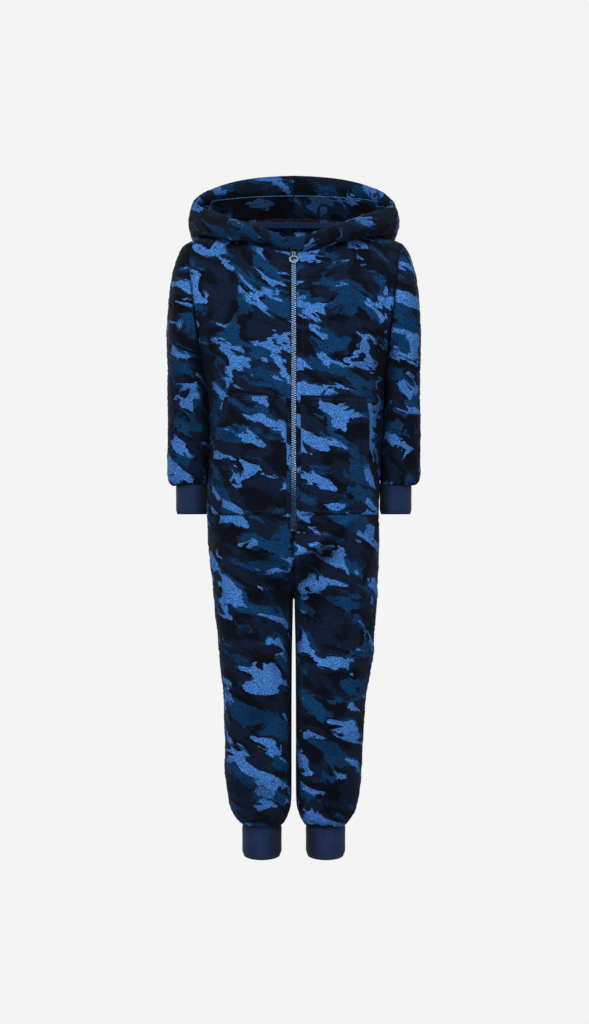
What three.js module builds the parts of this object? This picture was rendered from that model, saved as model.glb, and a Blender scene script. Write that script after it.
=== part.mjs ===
// Child's hooded fleece onesie pajama with a front zip, filled out as when it is worn, and hollow.
// Millimetres, +Z up. The front faces -Y and +X is the wearer's left.
// The origin is the middle of the neck, at the height of the shoulder points.
import * as THREE from 'three';

// Cloth
const FLEECE = 2.6;
const LINING = 2.0;
const RIB_KNIT = 2.2;
const TAPE = 1.0;
const NECK_TAPE_WIDTH = 13;
const SEAM_GAP = 0.3;
const ROUNDNESS = 2.4;

// Heights of the body
const UNDERARM_Z = -150;
const ZIP_TOP_Z = -25;
const ZIP_BOTTOM_Z = -386;
const RISE_TOP_Z = -394;
const CROTCH_Z = -477;
const ANKLE_START_Z = -740;
const LEG_HEM_Z = -777;

// Zip
const CHAIN_WIDTH = 6;
const CHAIN_THICK = 2.4;
const CHAIN_SUNK = 0.5;
const ZIP_EDGE_X = CHAIN_WIDTH / 2 + 0.6;
const SEAM_EDGE_X = 0.2;
const TAPE_WIDTH = 13;

// Neck and shoulders
const NECK = {
  halfWidth: 74, front: 62, back: 58, frontZ: ZIP_TOP_Z, sideZ: 12, backZ: 20, sag: 1.4, round: 0.9,
};
const SHOULDER_POINT = new THREE.Vector3(140.5, 0, -4);
const UNDERARM_POINT = new THREE.Vector3(124, 0, UNDERARM_Z);
const ARMHOLE = { front: 50, back: 54, roundness: 2.2 };
// How far out the chest and upper back stay above the underarm, as a share of the depth there
const CHEST_CURVE = { front: 0.985, back: 1.03, height: 60 };

// Cells of each wall
const CELLS = { across: 10, armhole: 9, body: 9, rise: 6, leg: 10, ankle: 4, hoodAcross: 14 };
const RELAX = { passes: 3, share: 0.4, rowsBelowYoke: 4 };
const HOOD_CELLS = { crest: 2, fold: 3, belly: 2, rim: 3 };
// Where the hood's crest lies between the neck seam and the fold, how far it stands over the seam,
// and how much of its front end is held beside the zip
const HOOD = { crestShare: 0.28, overSeam: 0.6, heldShare: 1 / 8 };

// Body sections from the underarm to the leg hem: half width on each side, depth in front and behind,
// and how far the inside of the leg stands from the middle
const BODY_SECTIONS = table(
  ['z', 'right', 'left', 'front', 'back', 'inner'],
  [-150, 122.5, 124.5, 84, 80, 0.2],
  [-185, 116.5, 121.0, 86, 80, 0.2],
  [-215, 113.0, 119.2, 87, 79, 0.2],
  [-253, 110.5, 117.5, 88, 79, 0.2],
  [-306, 111.5, 114.2, 88, 82, 0.2],
  [-366, 114.0, 113.0, 86, 87, 0.2],
  [-408, 111.5, 112.8, 81, 91, 0.2],
  [-477, 105.5, 109.5, 73, 88, 0.3],
  [-547, 98.5, 105.0, 65, 76, 1.8],
  [-600, 93.5, 96.5, 60, 68, 2.2],
  [-660, 91.0, 91.5, 56, 60, 2.4],
  [-715, 89.5, 88.5, 53, 55, 2.4],
  [-750, 83.5, 83.5, 49, 51, 3.5],
  [-765, 76.5, 77.5, 42, 44, 9.0],
  [-777, 66.0, 67.0, 28, 28, 17.5],
);

// Sleeve rings, each a tilted oval: how far its inner end stays clear of the body, its outer end,
// how far back its middle lies, and its depth in front of and behind that
const SLEEVE_RINGS = table(
  ['clear', 'innerZ', 'outerX', 'outerZ', 'middleY', 'front', 'back'],
  [3.2, -153, 149.5, -15, 1, 51, 54],
  [4.8, -157, 158.0, -37, 2, 51, 53],
  [6.0, -163, 164.2, -68, 4, 50, 51],
  [6.4, -173, 167.4, -104, 7, 48, 49],
  [5.8, -188, 168.0, -146, 10, 46, 47],
  [4.6, -209, 167.5, -184, 13, 45, 45],
  [3.2, -238, 167.5, -226, 15, 43, 43],
  [2.2, -270, 168.0, -264, 16, 41, 41],
  [2.0, -300, 168.0, -298, 16, 39, 39],
  [2.4, -315, 167.5, -315, 15, 36, 36],
  [3.0, -322, 165.0, -322, 14, 32, 32],
  [3.6, -326, 158.5, -326, 13, 26, 26],
);

// Hood sections from the middle of the front (0) to the middle of the back (8).
// rim is its open edge, low the bottom of its fold over the shoulder or back, belly its widest part.
const HOOD_SECTIONS = table(
  ['rimX', 'rimY', 'rimZ', 'crest', 'lowX', 'lowY', 'lowZ', 'bellyX', 'bellyY', 'bellyZ'],
  [13, -67, -8, 3, 13, -65.5, -17, 13.5, -67, -12],
  [30, -64, 3, 4, 38, -64, -14, 38, -66, -5],
  [66, -42, 18, 5, 74, -52, -9, 78, -53, 3],
  [103, -17, 35, 5, 106, -27, 0, 118, -28, 13],
  [131, 10, 50, 5, 123, 8, 6, 139, 8, 26],
  [128, 42, 68, 8, 119, 50, -20, 138, 52, 14],
  [97, 80, 90, 11, 92, 80, -72, 112, 100, -22],
  [50, 100, 103, 13, 47, 92, -102, 60, 124, -40],
  [0, 106, 107, 14, 0, 94, -110, 0, 132, -44],
);

// Folds of the cloth on one side of a piece: a ridge (height above 0) or trough (below 0)
// from one point to the other, fading out at both ends
const FRONT_FOLDS = table(
  ['fromX', 'fromZ', 'toX', 'toZ', 'width', 'height'],
  [72, -380, 8, -418, 15, 4.5],
  [66, -398, 2, -442, 15, -5.5],
  [-70, -408, -20, -428, 14, -3.0],
  [-62, -436, -6, -462, 14, -3.5],
  [62, -470, 12, -486, 15, -3.5],
  [24, -500, 16, -640, 16, 3.0],
  [-20, -610, -74, -640, 18, -3.0],
  [22, -650, 76, -676, 18, -3.0],
  [-80, -712, -20, -738, 14, -3.5],
  [80, -716, 24, -744, 14, -3.5],
);
const BACK_FOLDS = table(
  ['fromX', 'fromZ', 'toX', 'toZ', 'width', 'height'],
  [-78, -425, -12, -462, 16, -4.5],
  [74, -432, 14, -458, 16, -4.0],
  [-66, -510, -14, -488, 15, -3.5],
  [70, -520, 18, -492, 15, -3.0],
  [-74, -604, -18, -622, 17, -4.0],
  [78, -598, 20, -618, 17, -3.5],
  [-22, -650, -72, -668, 16, -3.0],
  [-60, -320, 50, -332, 20, -3.0],
);
const SLEEVE_FOLDS = table(
  ['fromX', 'fromZ', 'toX', 'toZ', 'width', 'height'],
  [-166, -150, -126, -250, 13, -3.2],
  [-160, -292, -124, -304, 11, -2.4],
  [166, -176, 132, -214, 13, -2.8],
  [162, -286, 126, -300, 11, -2.4],
);

// How quickly a fold fades at its ends, and near a seam
const FOLD_FADE = { ends: 0.7, seamShare: 0.35 };

// Pockets: one half of a pouch on each side of the zip, its mouth on the outer edge
const POCKET = {
  topZ: -213, bottomZ: -366, zipX: 9, lift: 0.7, mouthLift: 7.5, sewnBelow: -312, cells: 8,
  bowed: 0.8, flare: 1.3,
};
const POCKET_EDGE = table(
  ['z', 'right', 'left'],
  [-213, 88, 92],
  [-238, 90, 92.5],
  [-296, 99, 93],
  [-322, 103.5, 103.5],
  [-366, 108, 108],
);

// Cuffs: a ribbed tube from the hem down
const CUFF_RIB = 0.9;
const WRIST_CUFF = {
  x: 136.2, y: 13, halfWidth: 19.6, halfDepth: 24, topZ: -326.4, bottomZ: -365, ribs: 52, dip: 0,
};
const ANKLE_CUFF = {
  x: 42.3, y: 0, halfWidth: 24.6, halfDepth: 27, topZ: -777.4, bottomZ: -816, ribs: 60, dip: 4,
};

// Slider, its bridge and the pull that hangs from it
const SLIDER = {
  z: -27.5, width: 9, above: 8, below: 5.5, plate: 1.8, crown: 2.6, backPlate: 1.2, inZip: 2, clear: 0.5,
};
const BRIDGE = { bar: 1.2, width: 1.3, reach: 1.9, clear: 0.9 };
const PULL = {
  thick: 1.4, eyeTop: 1.0, eyeHole: 3.1, eyeClear: 0.4, underEye: 1.6, halfNeck: 2.1, halfWidth: 6.2,
  shoulder: 3, length: 16, holeHalf: 3.8, holeFlat: 0.7,
};
const STRIP_STEPS = 18;
const TAPE_BEHIND = 0.2;

// The folded tab over the top end of the zip: its outline in X and Z
const CHIN_GUARD = {
  outline: [[-10, -7], [17, -8], [13.5, -18], [7.5, -24.3], [-3.5, -24.3]], thick: 2.4, backY: -67.6,
};

// Colours
const COLOURS = {
  fleece: 0x16233f,
  lining: 0x121a30,
  ribKnit: 0x22406f,
  teal: 0x1b4a78,
  tape: 0x1a2f52,
  steel: 0xa9b0b8,
  gunmetal: 0x6b7280,
};

function table(columns, ...rows) {
  return rows.map((row) => Object.fromEntries(columns.map((name, index) => [name, row[index]])));
}

// Smooth value of a column of a table between its rows, by the position in another column
function between(rows, at, key, position) {
  const descending = rows[0][at] > rows[rows.length - 1][at];
  const ahead = (row) => (descending ? row[at] < position : row[at] > position);
  let right = rows.findIndex(ahead);
  if (right === -1) right = rows.length - 1;
  right = Math.max(right, 1);
  const left = right - 1;
  const span = rows[right][at] - rows[left][at];
  const t = THREE.MathUtils.clamp((position - rows[left][at]) / span, 0, 1);
  const slope = (index) => {
    const before = rows[Math.max(index - 1, 0)];
    const after = rows[Math.min(index + 1, rows.length - 1)];
    return (after[key] - before[key]) / (after[at] - before[at]);
  };
  const t2 = t * t;
  const t3 = t2 * t;
  return (2 * t3 - 3 * t2 + 1) * rows[left][key] + (t3 - 2 * t2 + t) * span * slope(left)
    + (3 * t2 - 2 * t3) * rows[right][key] + (t3 - t2) * span * slope(right);
}

function steps(from, to, count) {
  return Array.from({ length: count + 1 }, (_, index) => from + (to - from) * index / count);
}

function signedPower(value, power) {
  return Math.sign(value) * Math.abs(value) ** power;
}

// A point of a rounded oval: angle 0 is its outer end and 180 degrees its inner end
function ovalPoint(angle, roundness) {
  return [signedPower(Math.cos(angle), 2 / roundness), Math.abs(Math.sin(angle)) ** (2 / roundness)];
}

// count + 1 points spaced evenly along a curve that pointAt gives between two values
function evenPoints(pointAt, from, to, count) {
  const samples = steps(from, to, 96).map(pointAt);
  const lengths = [0];
  for (let index = 1; index < samples.length; index += 1) {
    lengths.push(lengths[index - 1] + samples[index].distanceTo(samples[index - 1]));
  }
  const total = lengths[lengths.length - 1];
  return steps(0, total, count).map((target) => {
    let index = lengths.findIndex((length) => length >= target - 1e-9);
    index = Math.max(index, 1);
    const part = (target - lengths[index - 1]) / (lengths[index] - lengths[index - 1]);
    return samples[index - 1].clone().lerp(samples[index], part);
  });
}

// Height of all the folds of a table at one place of the front, back or sleeve
function foldHeight(folds, x, z) {
  let height = 0;
  for (const fold of folds) {
    const alongX = fold.toX - fold.fromX;
    const alongZ = fold.toZ - fold.fromZ;
    const length = Math.hypot(alongX, alongZ);
    const along = ((x - fold.fromX) * alongX + (z - fold.fromZ) * alongZ) / length ** 2;
    const across = ((x - fold.fromX) * alongZ - (z - fold.fromZ) * alongX) / length;
    if (along > 0 && along < 1) {
      const fade = Math.sin(Math.PI * along) ** FOLD_FADE.ends;
      height += fold.height * fade * Math.exp(-((across / fold.width) ** 2));
    }
  }
  return height;
}

// The centre of a body section: 0 in the torso, and moving out into the leg below the top of the rise
function sectionOval(side, z) {
  const outer = between(BODY_SECTIONS, 'z', side > 0 ? 'left' : 'right', z);
  const inner = between(BODY_SECTIONS, 'z', 'inner', z);
  if (z >= RISE_TOP_Z) return { centre: 0, half: outer };
  const down = Math.min((RISE_TOP_Z - z) / (RISE_TOP_Z - CROTCH_Z), 1);
  const share = (1 - (1 - down ** 2) ** (ROUNDNESS / 2)) ** (1 / ROUNDNESS);
  const centre = (inner + outer * share) / (1 + share);
  return { centre, half: outer - centre };
}

// A point of the body's outer face, with its folds. face is -1 in front and 1 behind.
function bodyPoint(side, face, z, angle) {
  const { centre, half } = sectionOval(side, z);
  const depth = between(BODY_SECTIONS, 'z', face < 0 ? 'front' : 'back', z);
  const [across, deep] = ovalPoint(angle, ROUNDNESS);
  const x = side * (centre + half * across);
  const nearSeam = Math.min(1, deep / FOLD_FADE.seamShare) ** 2;
  const lift = foldHeight(face < 0 ? FRONT_FOLDS : BACK_FOLDS, x, z) * nearSeam;
  const outward = new THREE.Vector2(side * across / half, face * deep / depth).normalize();
  return new THREE.Vector3(x + outward.x * lift, face * (depth * deep) + outward.y * lift, z);
}

// The angle at which a section meets the plane at edgeX from the middle
function angleAt(side, z, edgeX) {
  const { centre, half } = sectionOval(side, z);
  const across = THREE.MathUtils.clamp((edgeX - centre) / half, -1, 1);
  return Math.acos(signedPower(across, ROUNDNESS / 2));
}

// Where the inner edge of a front or back panel runs: beside the zip, along the seam, or at the inseam
function innerEdgeX(face, z) {
  if (z < CROTCH_Z) return between(BODY_SECTIONS, 'z', 'inner', z);
  if (face > 0 || z <= RISE_TOP_Z) return SEAM_EDGE_X;
  if (z >= ZIP_BOTTOM_Z) return ZIP_EDGE_X;
  return THREE.MathUtils.mapLinear(z, ZIP_BOTTOM_Z, RISE_TOP_Z, ZIP_EDGE_X, SEAM_EDGE_X);
}

function bodyRow(side, face, z) {
  const start = z <= CROTCH_Z ? Math.PI : angleAt(side, z, innerEdgeX(face, z));
  return evenPoints((angle) => bodyPoint(side, face, z, angle), start, 0, CELLS.across);
}

// The neckline from the middle of the front (0) to the shoulder seam (1) to the middle of the back (2)
function necklinePoint(side, at) {
  const turn = at * Math.PI / 2;
  const deep = Math.cos(turn);
  const depth = deep > 0 ? NECK.front : NECK.back;
  const endZ = deep > 0 ? NECK.frontZ : NECK.backZ;
  const z = NECK.sideZ + (endZ - NECK.sideZ) * Math.abs(deep) ** NECK.sag;
  return new THREE.Vector3(side * NECK.halfWidth * Math.sin(turn) ** NECK.round, -depth * deep, z);
}

function armholePoint(side, face, angle) {
  const middle = SHOULDER_POINT.clone().add(UNDERARM_POINT).multiplyScalar(0.5);
  const half = SHOULDER_POINT.clone().sub(UNDERARM_POINT).multiplyScalar(0.5);
  const [along, deep] = ovalPoint(angle, ARMHOLE.roundness);
  const point = middle.addScaledVector(half, along);
  point.y = face * deep * (face < 0 ? ARMHOLE.front : ARMHOLE.back);
  point.x *= side;
  return point;
}

// The middle line of the chest or the upper back, from the underarm level to the neck
function middleLine(side, face, share) {
  const low = bodyPoint(side, face, UNDERARM_Z, angleAt(side, UNDERARM_Z, innerEdgeX(face, UNDERARM_Z)));
  const edge = innerEdgeX(face, ZIP_TOP_Z);
  const high = necklinePoint(side, face < 0 ? 0 : 2);
  high.x = side * edge;
  const depth = face < 0 ? CHEST_CURVE.front : CHEST_CURVE.back;
  const bulge = new THREE.Vector3(low.x, low.y * depth, low.z + CHEST_CURVE.height);
  return new THREE.QuadraticBezierCurve3(low, bulge, high).getPoint(share);
}

// The upper part of a front or back, blended between its four edges
function yokeGrid(side, face) {
  const half = CELLS.across / 2;
  const low = bodyRow(side, face, UNDERARM_Z);
  const neckFrom = face < 0 ? 0 : 2;
  const neck = evenPoints((at) => necklinePoint(side, at), neckFrom, 1, half);
  neck[0].x = side * innerEdgeX(face, ZIP_TOP_Z);
  const shoulderEnd = armholePoint(side, face, 0);
  const shoulder = steps(0, 1, half).map((share) => neck[half].clone().lerp(shoulderEnd, share));
  const high = [...neck, ...shoulder.slice(1)];
  const armhole = steps(Math.PI, 0, CELLS.armhole).map((angle) => armholePoint(side, face, angle));
  return steps(0, 1, CELLS.armhole).map((v, row) => steps(0, 1, CELLS.across).map((u, column) => {
    const middle = middleLine(side, face, v);
    const point = new THREE.Vector3();
    point.addScaledVector(low[column], 1 - v).addScaledVector(high[column], v);
    point.addScaledVector(middle, 1 - u).addScaledVector(armhole[row], u);
    point.addScaledVector(low[0], -(1 - u) * (1 - v)).addScaledVector(low[CELLS.across], -u * (1 - v));
    point.addScaledVector(high[0], -(1 - u) * v).addScaledVector(high[CELLS.across], -u * v);
    return point;
  }));
}

function bodyLevels() {
  const turns = steps(0, Math.PI / 2, CELLS.rise);
  const rise = turns.map((turn) => RISE_TOP_Z + (CROTCH_Z - RISE_TOP_Z) * Math.sin(turn));
  return [
    ...steps(UNDERARM_Z, ZIP_BOTTOM_Z, CELLS.body),
    ...rise,
    ...steps(CROTCH_Z, ANKLE_START_Z, CELLS.leg).slice(1),
    ...steps(ANKLE_START_Z, LEG_HEM_Z, CELLS.ankle).slice(1),
  ];
}

// A front or back panel, from the shoulder seam and neckline down to the leg hem
function panelGrid(side, face) {
  const yoke = yokeGrid(side, face).reverse();
  const lower = bodyLevels().slice(1).map((z) => bodyRow(side, face, z));
  const underarm = side * BODY_SECTIONS[0][side > 0 ? 'left' : 'right'];
  lower[0][CELLS.across].x += (side * UNDERARM_POINT.x - underarm) / 2;
  yoke[CELLS.armhole][CELLS.across].copy(armholePoint(side, face, Math.PI));
  return relaxRows([...yoke, ...lower], 2, CELLS.armhole + RELAX.rowsBelowYoke);
}

// Evens out the blend between the yoke and the body below it, away from the seams
function relaxRows(grid, fromRow, toRow) {
  for (let pass = 0; pass < RELAX.passes; pass += 1) {
    for (let row = fromRow; row <= toRow; row += 1) {
      for (let column = 1; column < CELLS.across; column += 1) {
        const around = new THREE.Vector3().add(grid[row - 1][column]).add(grid[row + 1][column]);
        around.add(grid[row][column - 1]).add(grid[row][column + 1]).multiplyScalar(0.25);
        grid[row][column].lerp(around, RELAX.share);
      }
    }
  }
  return grid;
}

function sleeveGrid(side) {
  const around = [
    ...steps(0, Math.PI, CELLS.armhole).slice(0, -1).map((angle) => [-1, angle]),
    ...steps(Math.PI, 0, CELLS.armhole).slice(0, -1).map((angle) => [1, angle]),
  ];
  const head = around.map(([face, angle]) => armholePoint(side, face, angle));
  const rings = SLEEVE_RINGS.map((ring) => around.map(([face, angle]) => {
    const inner = new THREE.Vector3(sectionOval(side, ring.innerZ).half + ring.clear, 0, ring.innerZ);
    const outer = new THREE.Vector3(ring.outerX, 0, ring.outerZ);
    const [along, deep] = ovalPoint(angle, ARMHOLE.roundness);
    const point = inner.clone().add(outer).multiplyScalar(0.5);
    point.addScaledVector(outer.sub(inner), along / 2);
    const fold = foldHeight(SLEEVE_FOLDS, side * point.x, point.z) * deep;
    point.y = ring.middleY + face * (deep * (face < 0 ? ring.front : ring.back) + fold);
    point.x *= side;
    return point;
  }));
  return [head, ...rings];
}

// A point of the hood's outer face. across runs from the front (0) to the back (1), up from the
// neck seam (0) over the crest and round the fold to the rim (1).
function hoodProfile(side, across) {
  const rows = HOOD_SECTIONS.map((row, index) => ({ ...row, at: index / (HOOD_SECTIONS.length - 1) }));
  const value = (key) => between(rows, 'at', key, across);
  const neck = necklinePoint(side, across * 2);
  const held = value('rimX') * (1 - across / HOOD.heldShare);
  neck.x = across === 1 ? 0 : side * Math.max(Math.abs(neck.x), held);
  neck.z += HOOD.overSeam;
  const low = new THREE.Vector3(side * value('lowX'), value('lowY'), value('lowZ'));
  const crest = neck.clone().lerp(low, HOOD.crestShare);
  crest.z = neck.z + value('crest');
  const belly = new THREE.Vector3(side * value('bellyX'), value('bellyY'), value('bellyZ'));
  const rim = new THREE.Vector3(side * value('rimX'), value('rimY'), value('rimZ'));
  return new THREE.CatmullRomCurve3([neck, crest, low, belly, rim], false, 'centripetal');
}

function hoodGrid(side) {
  return steps(0, 1, CELLS.hoodAcross).map((across) => {
    const profile = hoodProfile(side, across);
    return Object.values(HOOD_CELLS).flatMap((cells, span, spans) => {
      const stretch = steps(span / spans.length, (span + 1) / spans.length, cells);
      return stretch.slice(span ? 1 : 0).map((t) => profile.getPoint(t));
    });
  });
}

// Sums the directions that the faces round each point look in, so that pieces sewn along a seam
// share them and their walls meet face to face
class SeamDirections {
  constructor() {
    this.sums = new Map();
  }

  key(point) {
    return [point.x, point.y, point.z].map((value) => Math.round(value * 200)).join(',');
  }

  add(grid, closed, outward) {
    const columns = grid[0].length;
    const last = closed ? columns : columns - 1;
    for (let row = 0; row < grid.length - 1; row += 1) {
      for (let column = 0; column < last; column += 1) {
        const next = (column + 1) % columns;
        const corners = [grid[row][column], grid[row][next], grid[row + 1][next], grid[row + 1][column]];
        const diagonal = corners[2].clone().sub(corners[0]);
        const other = corners[3].clone().sub(corners[1]);
        const direction = diagonal.cross(other).multiplyScalar(outward);
        for (const corner of corners) {
          const key = this.key(corner);
          if (!this.sums.has(key)) this.sums.set(key, new THREE.Vector3());
          this.sums.get(key).add(direction);
        }
      }
    }
  }

  at(point) {
    return this.sums.get(this.key(point)).clone().normalize();
  }
}

// The same grid moved along the seam directions: below 0 is into the garment
function offsetGrid(grid, directions, distance) {
  return grid.map((row) => row.map((point) => point.clone().addScaledVector(directions.at(point), distance)));
}

// Draws the edges of a piece back by half of the seam gap, square to the seam
function trimEdges(grid, closed) {
  const lastRow = grid.length - 1;
  const lastColumn = grid[0].length - 1;
  const moves = [];
  const draw = (point, towards, before, after) => {
    const step = towards.clone().sub(point);
    const seam = after.clone().sub(before).normalize();
    step.addScaledVector(seam, -step.dot(seam));
    moves.push([point, step.setLength(SEAM_GAP / 2)]);
  };
  for (let column = 0; column <= lastColumn; column += 1) {
    const before = closed ? (column + lastColumn) % (lastColumn + 1) : Math.max(column - 1, 0);
    const after = closed ? (column + 1) % (lastColumn + 1) : Math.min(column + 1, lastColumn);
    draw(grid[0][column], grid[1][column], grid[0][before], grid[0][after]);
    draw(grid[lastRow][column], grid[lastRow - 1][column], grid[lastRow][before], grid[lastRow][after]);
  }
  for (let row = 0; row <= lastRow && !closed; row += 1) {
    const before = grid[Math.max(row - 1, 0)];
    const after = grid[Math.min(row + 1, lastRow)];
    draw(grid[row][0], grid[row][1], before[0], after[0]);
    draw(grid[row][lastColumn], grid[row][lastColumn - 1], before[lastColumn], after[lastColumn]);
  }
  for (const [point, move] of moves) point.add(move);
  return grid;
}

// A closed wall between an outer and an inner grid. A closed grid is a tube open at both ends.
function wallGeometry(outer, inner, closed) {
  const rows = outer.length;
  const columns = outer[0].length;
  const positions = [...outer.flat(), ...inner.flat()].flatMap((point) => [point.x, point.y, point.z]);
  const skin = (row, column) => row * columns + (column % columns);
  const back = (row, column) => rows * columns + skin(row, column);
  const faces = [];
  const quad = (a, b, c, d) => faces.push(a, b, c, a, c, d);
  const last = closed ? columns : columns - 1;
  for (let row = 0; row < rows - 1; row += 1) {
    for (let column = 0; column < last; column += 1) {
      quad(skin(row, column), skin(row + 1, column), skin(row + 1, column + 1), skin(row, column + 1));
      quad(back(row, column), back(row, column + 1), back(row + 1, column + 1), back(row + 1, column));
    }
  }
  // Across an edge the shorter diagonal is used, so that two walls that meet there match
  const at = (index) => new THREE.Vector3().fromArray(positions, index * 3);
  const edge = (a, b, c, d) => {
    if (at(a).distanceTo(at(c)) < at(b).distanceTo(at(d))) quad(a, b, c, d);
    else quad(b, c, d, a);
  };
  const end = [rows - 1, columns - 1];
  for (let column = 0; column < last; column += 1) {
    edge(skin(0, column), skin(0, column + 1), back(0, column + 1), back(0, column));
    edge(skin(end[0], column), back(end[0], column), back(end[0], column + 1), skin(end[0], column + 1));
  }
  for (let row = 0; row < rows - 1 && !closed; row += 1) {
    edge(skin(row, 0), back(row, 0), back(row + 1, 0), skin(row + 1, 0));
    edge(skin(row, end[1]), skin(row + 1, end[1]), back(row + 1, end[1]), back(row, end[1]));
  }
  return closedGeometry(positions, faces);
}

// A geometry whose faces look out, whichever way its points were listed
function closedGeometry(positions, faces) {
  const at = (index) => new THREE.Vector3().fromArray(positions, index * 3);
  let volume = 0;
  for (let index = 0; index < faces.length; index += 3) {
    volume += at(faces[index]).dot(at(faces[index + 1]).cross(at(faces[index + 2])));
  }
  if (volume < 0) {
    for (let index = 0; index < faces.length; index += 3) {
      [faces[index + 1], faces[index + 2]] = [faces[index + 2], faces[index + 1]];
    }
  }
  const geometry = new THREE.BufferGeometry();
  geometry.setAttribute('position', new THREE.Float32BufferAttribute(positions, 3));
  geometry.setIndex(faces);
  geometry.computeVertexNormals();
  return geometry;
}

function material(colour, roughness, metalness = 0) {
  return new THREE.MeshStandardMaterial({ color: colour, roughness, metalness });
}

function mesh(name, geometry, finish) {
  const piece = new THREE.Mesh(geometry, finish);
  piece.name = name;
  return piece;
}

function sideName(side) {
  return side > 0 ? 'left' : 'right';
}

// Fronts, backs and sleeves, sewn together along shared points
function makeBody() {
  const directions = new SeamDirections();
  const pieces = [];
  for (const side of [-1, 1]) {
    const panels = [['front', -1], ['back', 1]].map(([name, face]) => {
      const grid = panelGrid(side, face);
      directions.add(grid, false, side * face);
      return { name: `${name}_${sideName(side)}`, grid, closed: false };
    });
    const sleeve = sleeveGrid(side);
    directions.add(sleeve, true, side);
    pieces.push(...panels, { name: `sleeve_${sideName(side)}`, grid: sleeve, closed: true });
  }
  const fleece = material(COLOURS.fleece, 0.95);
  return pieces.map(({ name, grid, closed }) => {
    const outer = offsetGrid(grid, directions, 0);
    const inner = offsetGrid(grid, directions, -FLEECE);
    const geometry = wallGeometry(trimEdges(outer, closed), trimEdges(inner, closed), closed);
    return mesh(name, geometry, fleece);
  });
}

// The hood hangs open behind the neck: an outer shell and a lining in it, each in two halves
function makeHood() {
  const directions = new SeamDirections();
  const grids = [-1, 1].map((side) => ({ side, grid: hoodGrid(side) }));
  for (const { side, grid } of grids) directions.add(grid, false, -side);
  const layers = [
    { name: 'hood', from: 0, thick: FLEECE, finish: material(COLOURS.fleece, 0.95) },
    { name: 'hood_lining', from: -FLEECE - SEAM_GAP, thick: LINING, finish: material(COLOURS.lining, 0.95) },
  ];
  const pieces = layers.flatMap(({ name, from, thick, finish }) => grids.map(({ side, grid }) => {
    const outer = trimEdges(offsetGrid(grid, directions, from), false);
    const inner = trimEdges(offsetGrid(grid, directions, from - thick), false);
    return mesh(`${name}_${sideName(side)}`, wallGeometry(outer, inner, false), finish);
  }));
  return [...pieces, makeNeckTape(grids, directions)];
}

// A tape that covers the neck seam inside the back of the neck
function makeNeckTape(grids, directions) {
  const firstColumn = Math.round(CELLS.hoodAcross * 0.75);
  const depth = -FLEECE - LINING - 3 * SEAM_GAP;
  const strip = (distance) => {
    const halves = grids.map(({ grid }) => {
      const moved = offsetGrid(grid.slice(firstColumn), directions, distance);
      return moved.map(([low, high]) => {
        const width = Math.min(NECK_TAPE_WIDTH / low.distanceTo(high), 1);
        return [low, low.clone().lerp(high, width)];
      });
    });
    return [...halves[0], ...halves[1].reverse().slice(1)];
  };
  const geometry = wallGeometry(strip(depth), strip(depth - TAPE), false);
  return mesh('neck_tape', geometry, material(COLOURS.teal, 0.9));
}

// How far a pocket stands off its panel: sewn down all round but for its mouth
function pocketLift(z, across) {
  const open = THREE.MathUtils.clamp((POCKET.topZ - z) / (POCKET.topZ - POCKET.sewnBelow), 0, 1);
  return POCKET.lift + POCKET.mouthLift * Math.sin(Math.PI * open) ** POCKET.bowed * across ** POCKET.flare;
}

function makePocket(side) {
  const rows = steps(POCKET.topZ, POCKET.bottomZ, POCKET.cells + 2);
  const panel = rows.map((z) => {
    const edge = between(POCKET_EDGE, 'z', sideName(side), z);
    const from = angleAt(side, z, POCKET.zipX);
    return evenPoints((angle) => bodyPoint(side, -1, z, angle), from, angleAt(side, z, edge), POCKET.cells);
  });
  const directions = new SeamDirections();
  directions.add(panel, false, -side);
  const lifted = (extra) => panel.map((row, index) => row.map((point, column) => {
    const lift = pocketLift(rows[index], column / POCKET.cells) + extra;
    return point.clone().addScaledVector(directions.at(point), lift);
  }));
  const geometry = wallGeometry(lifted(FLEECE), lifted(0), false);
  return mesh(`pocket_${sideName(side)}`, geometry, material(COLOURS.fleece, 0.95));
}

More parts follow.
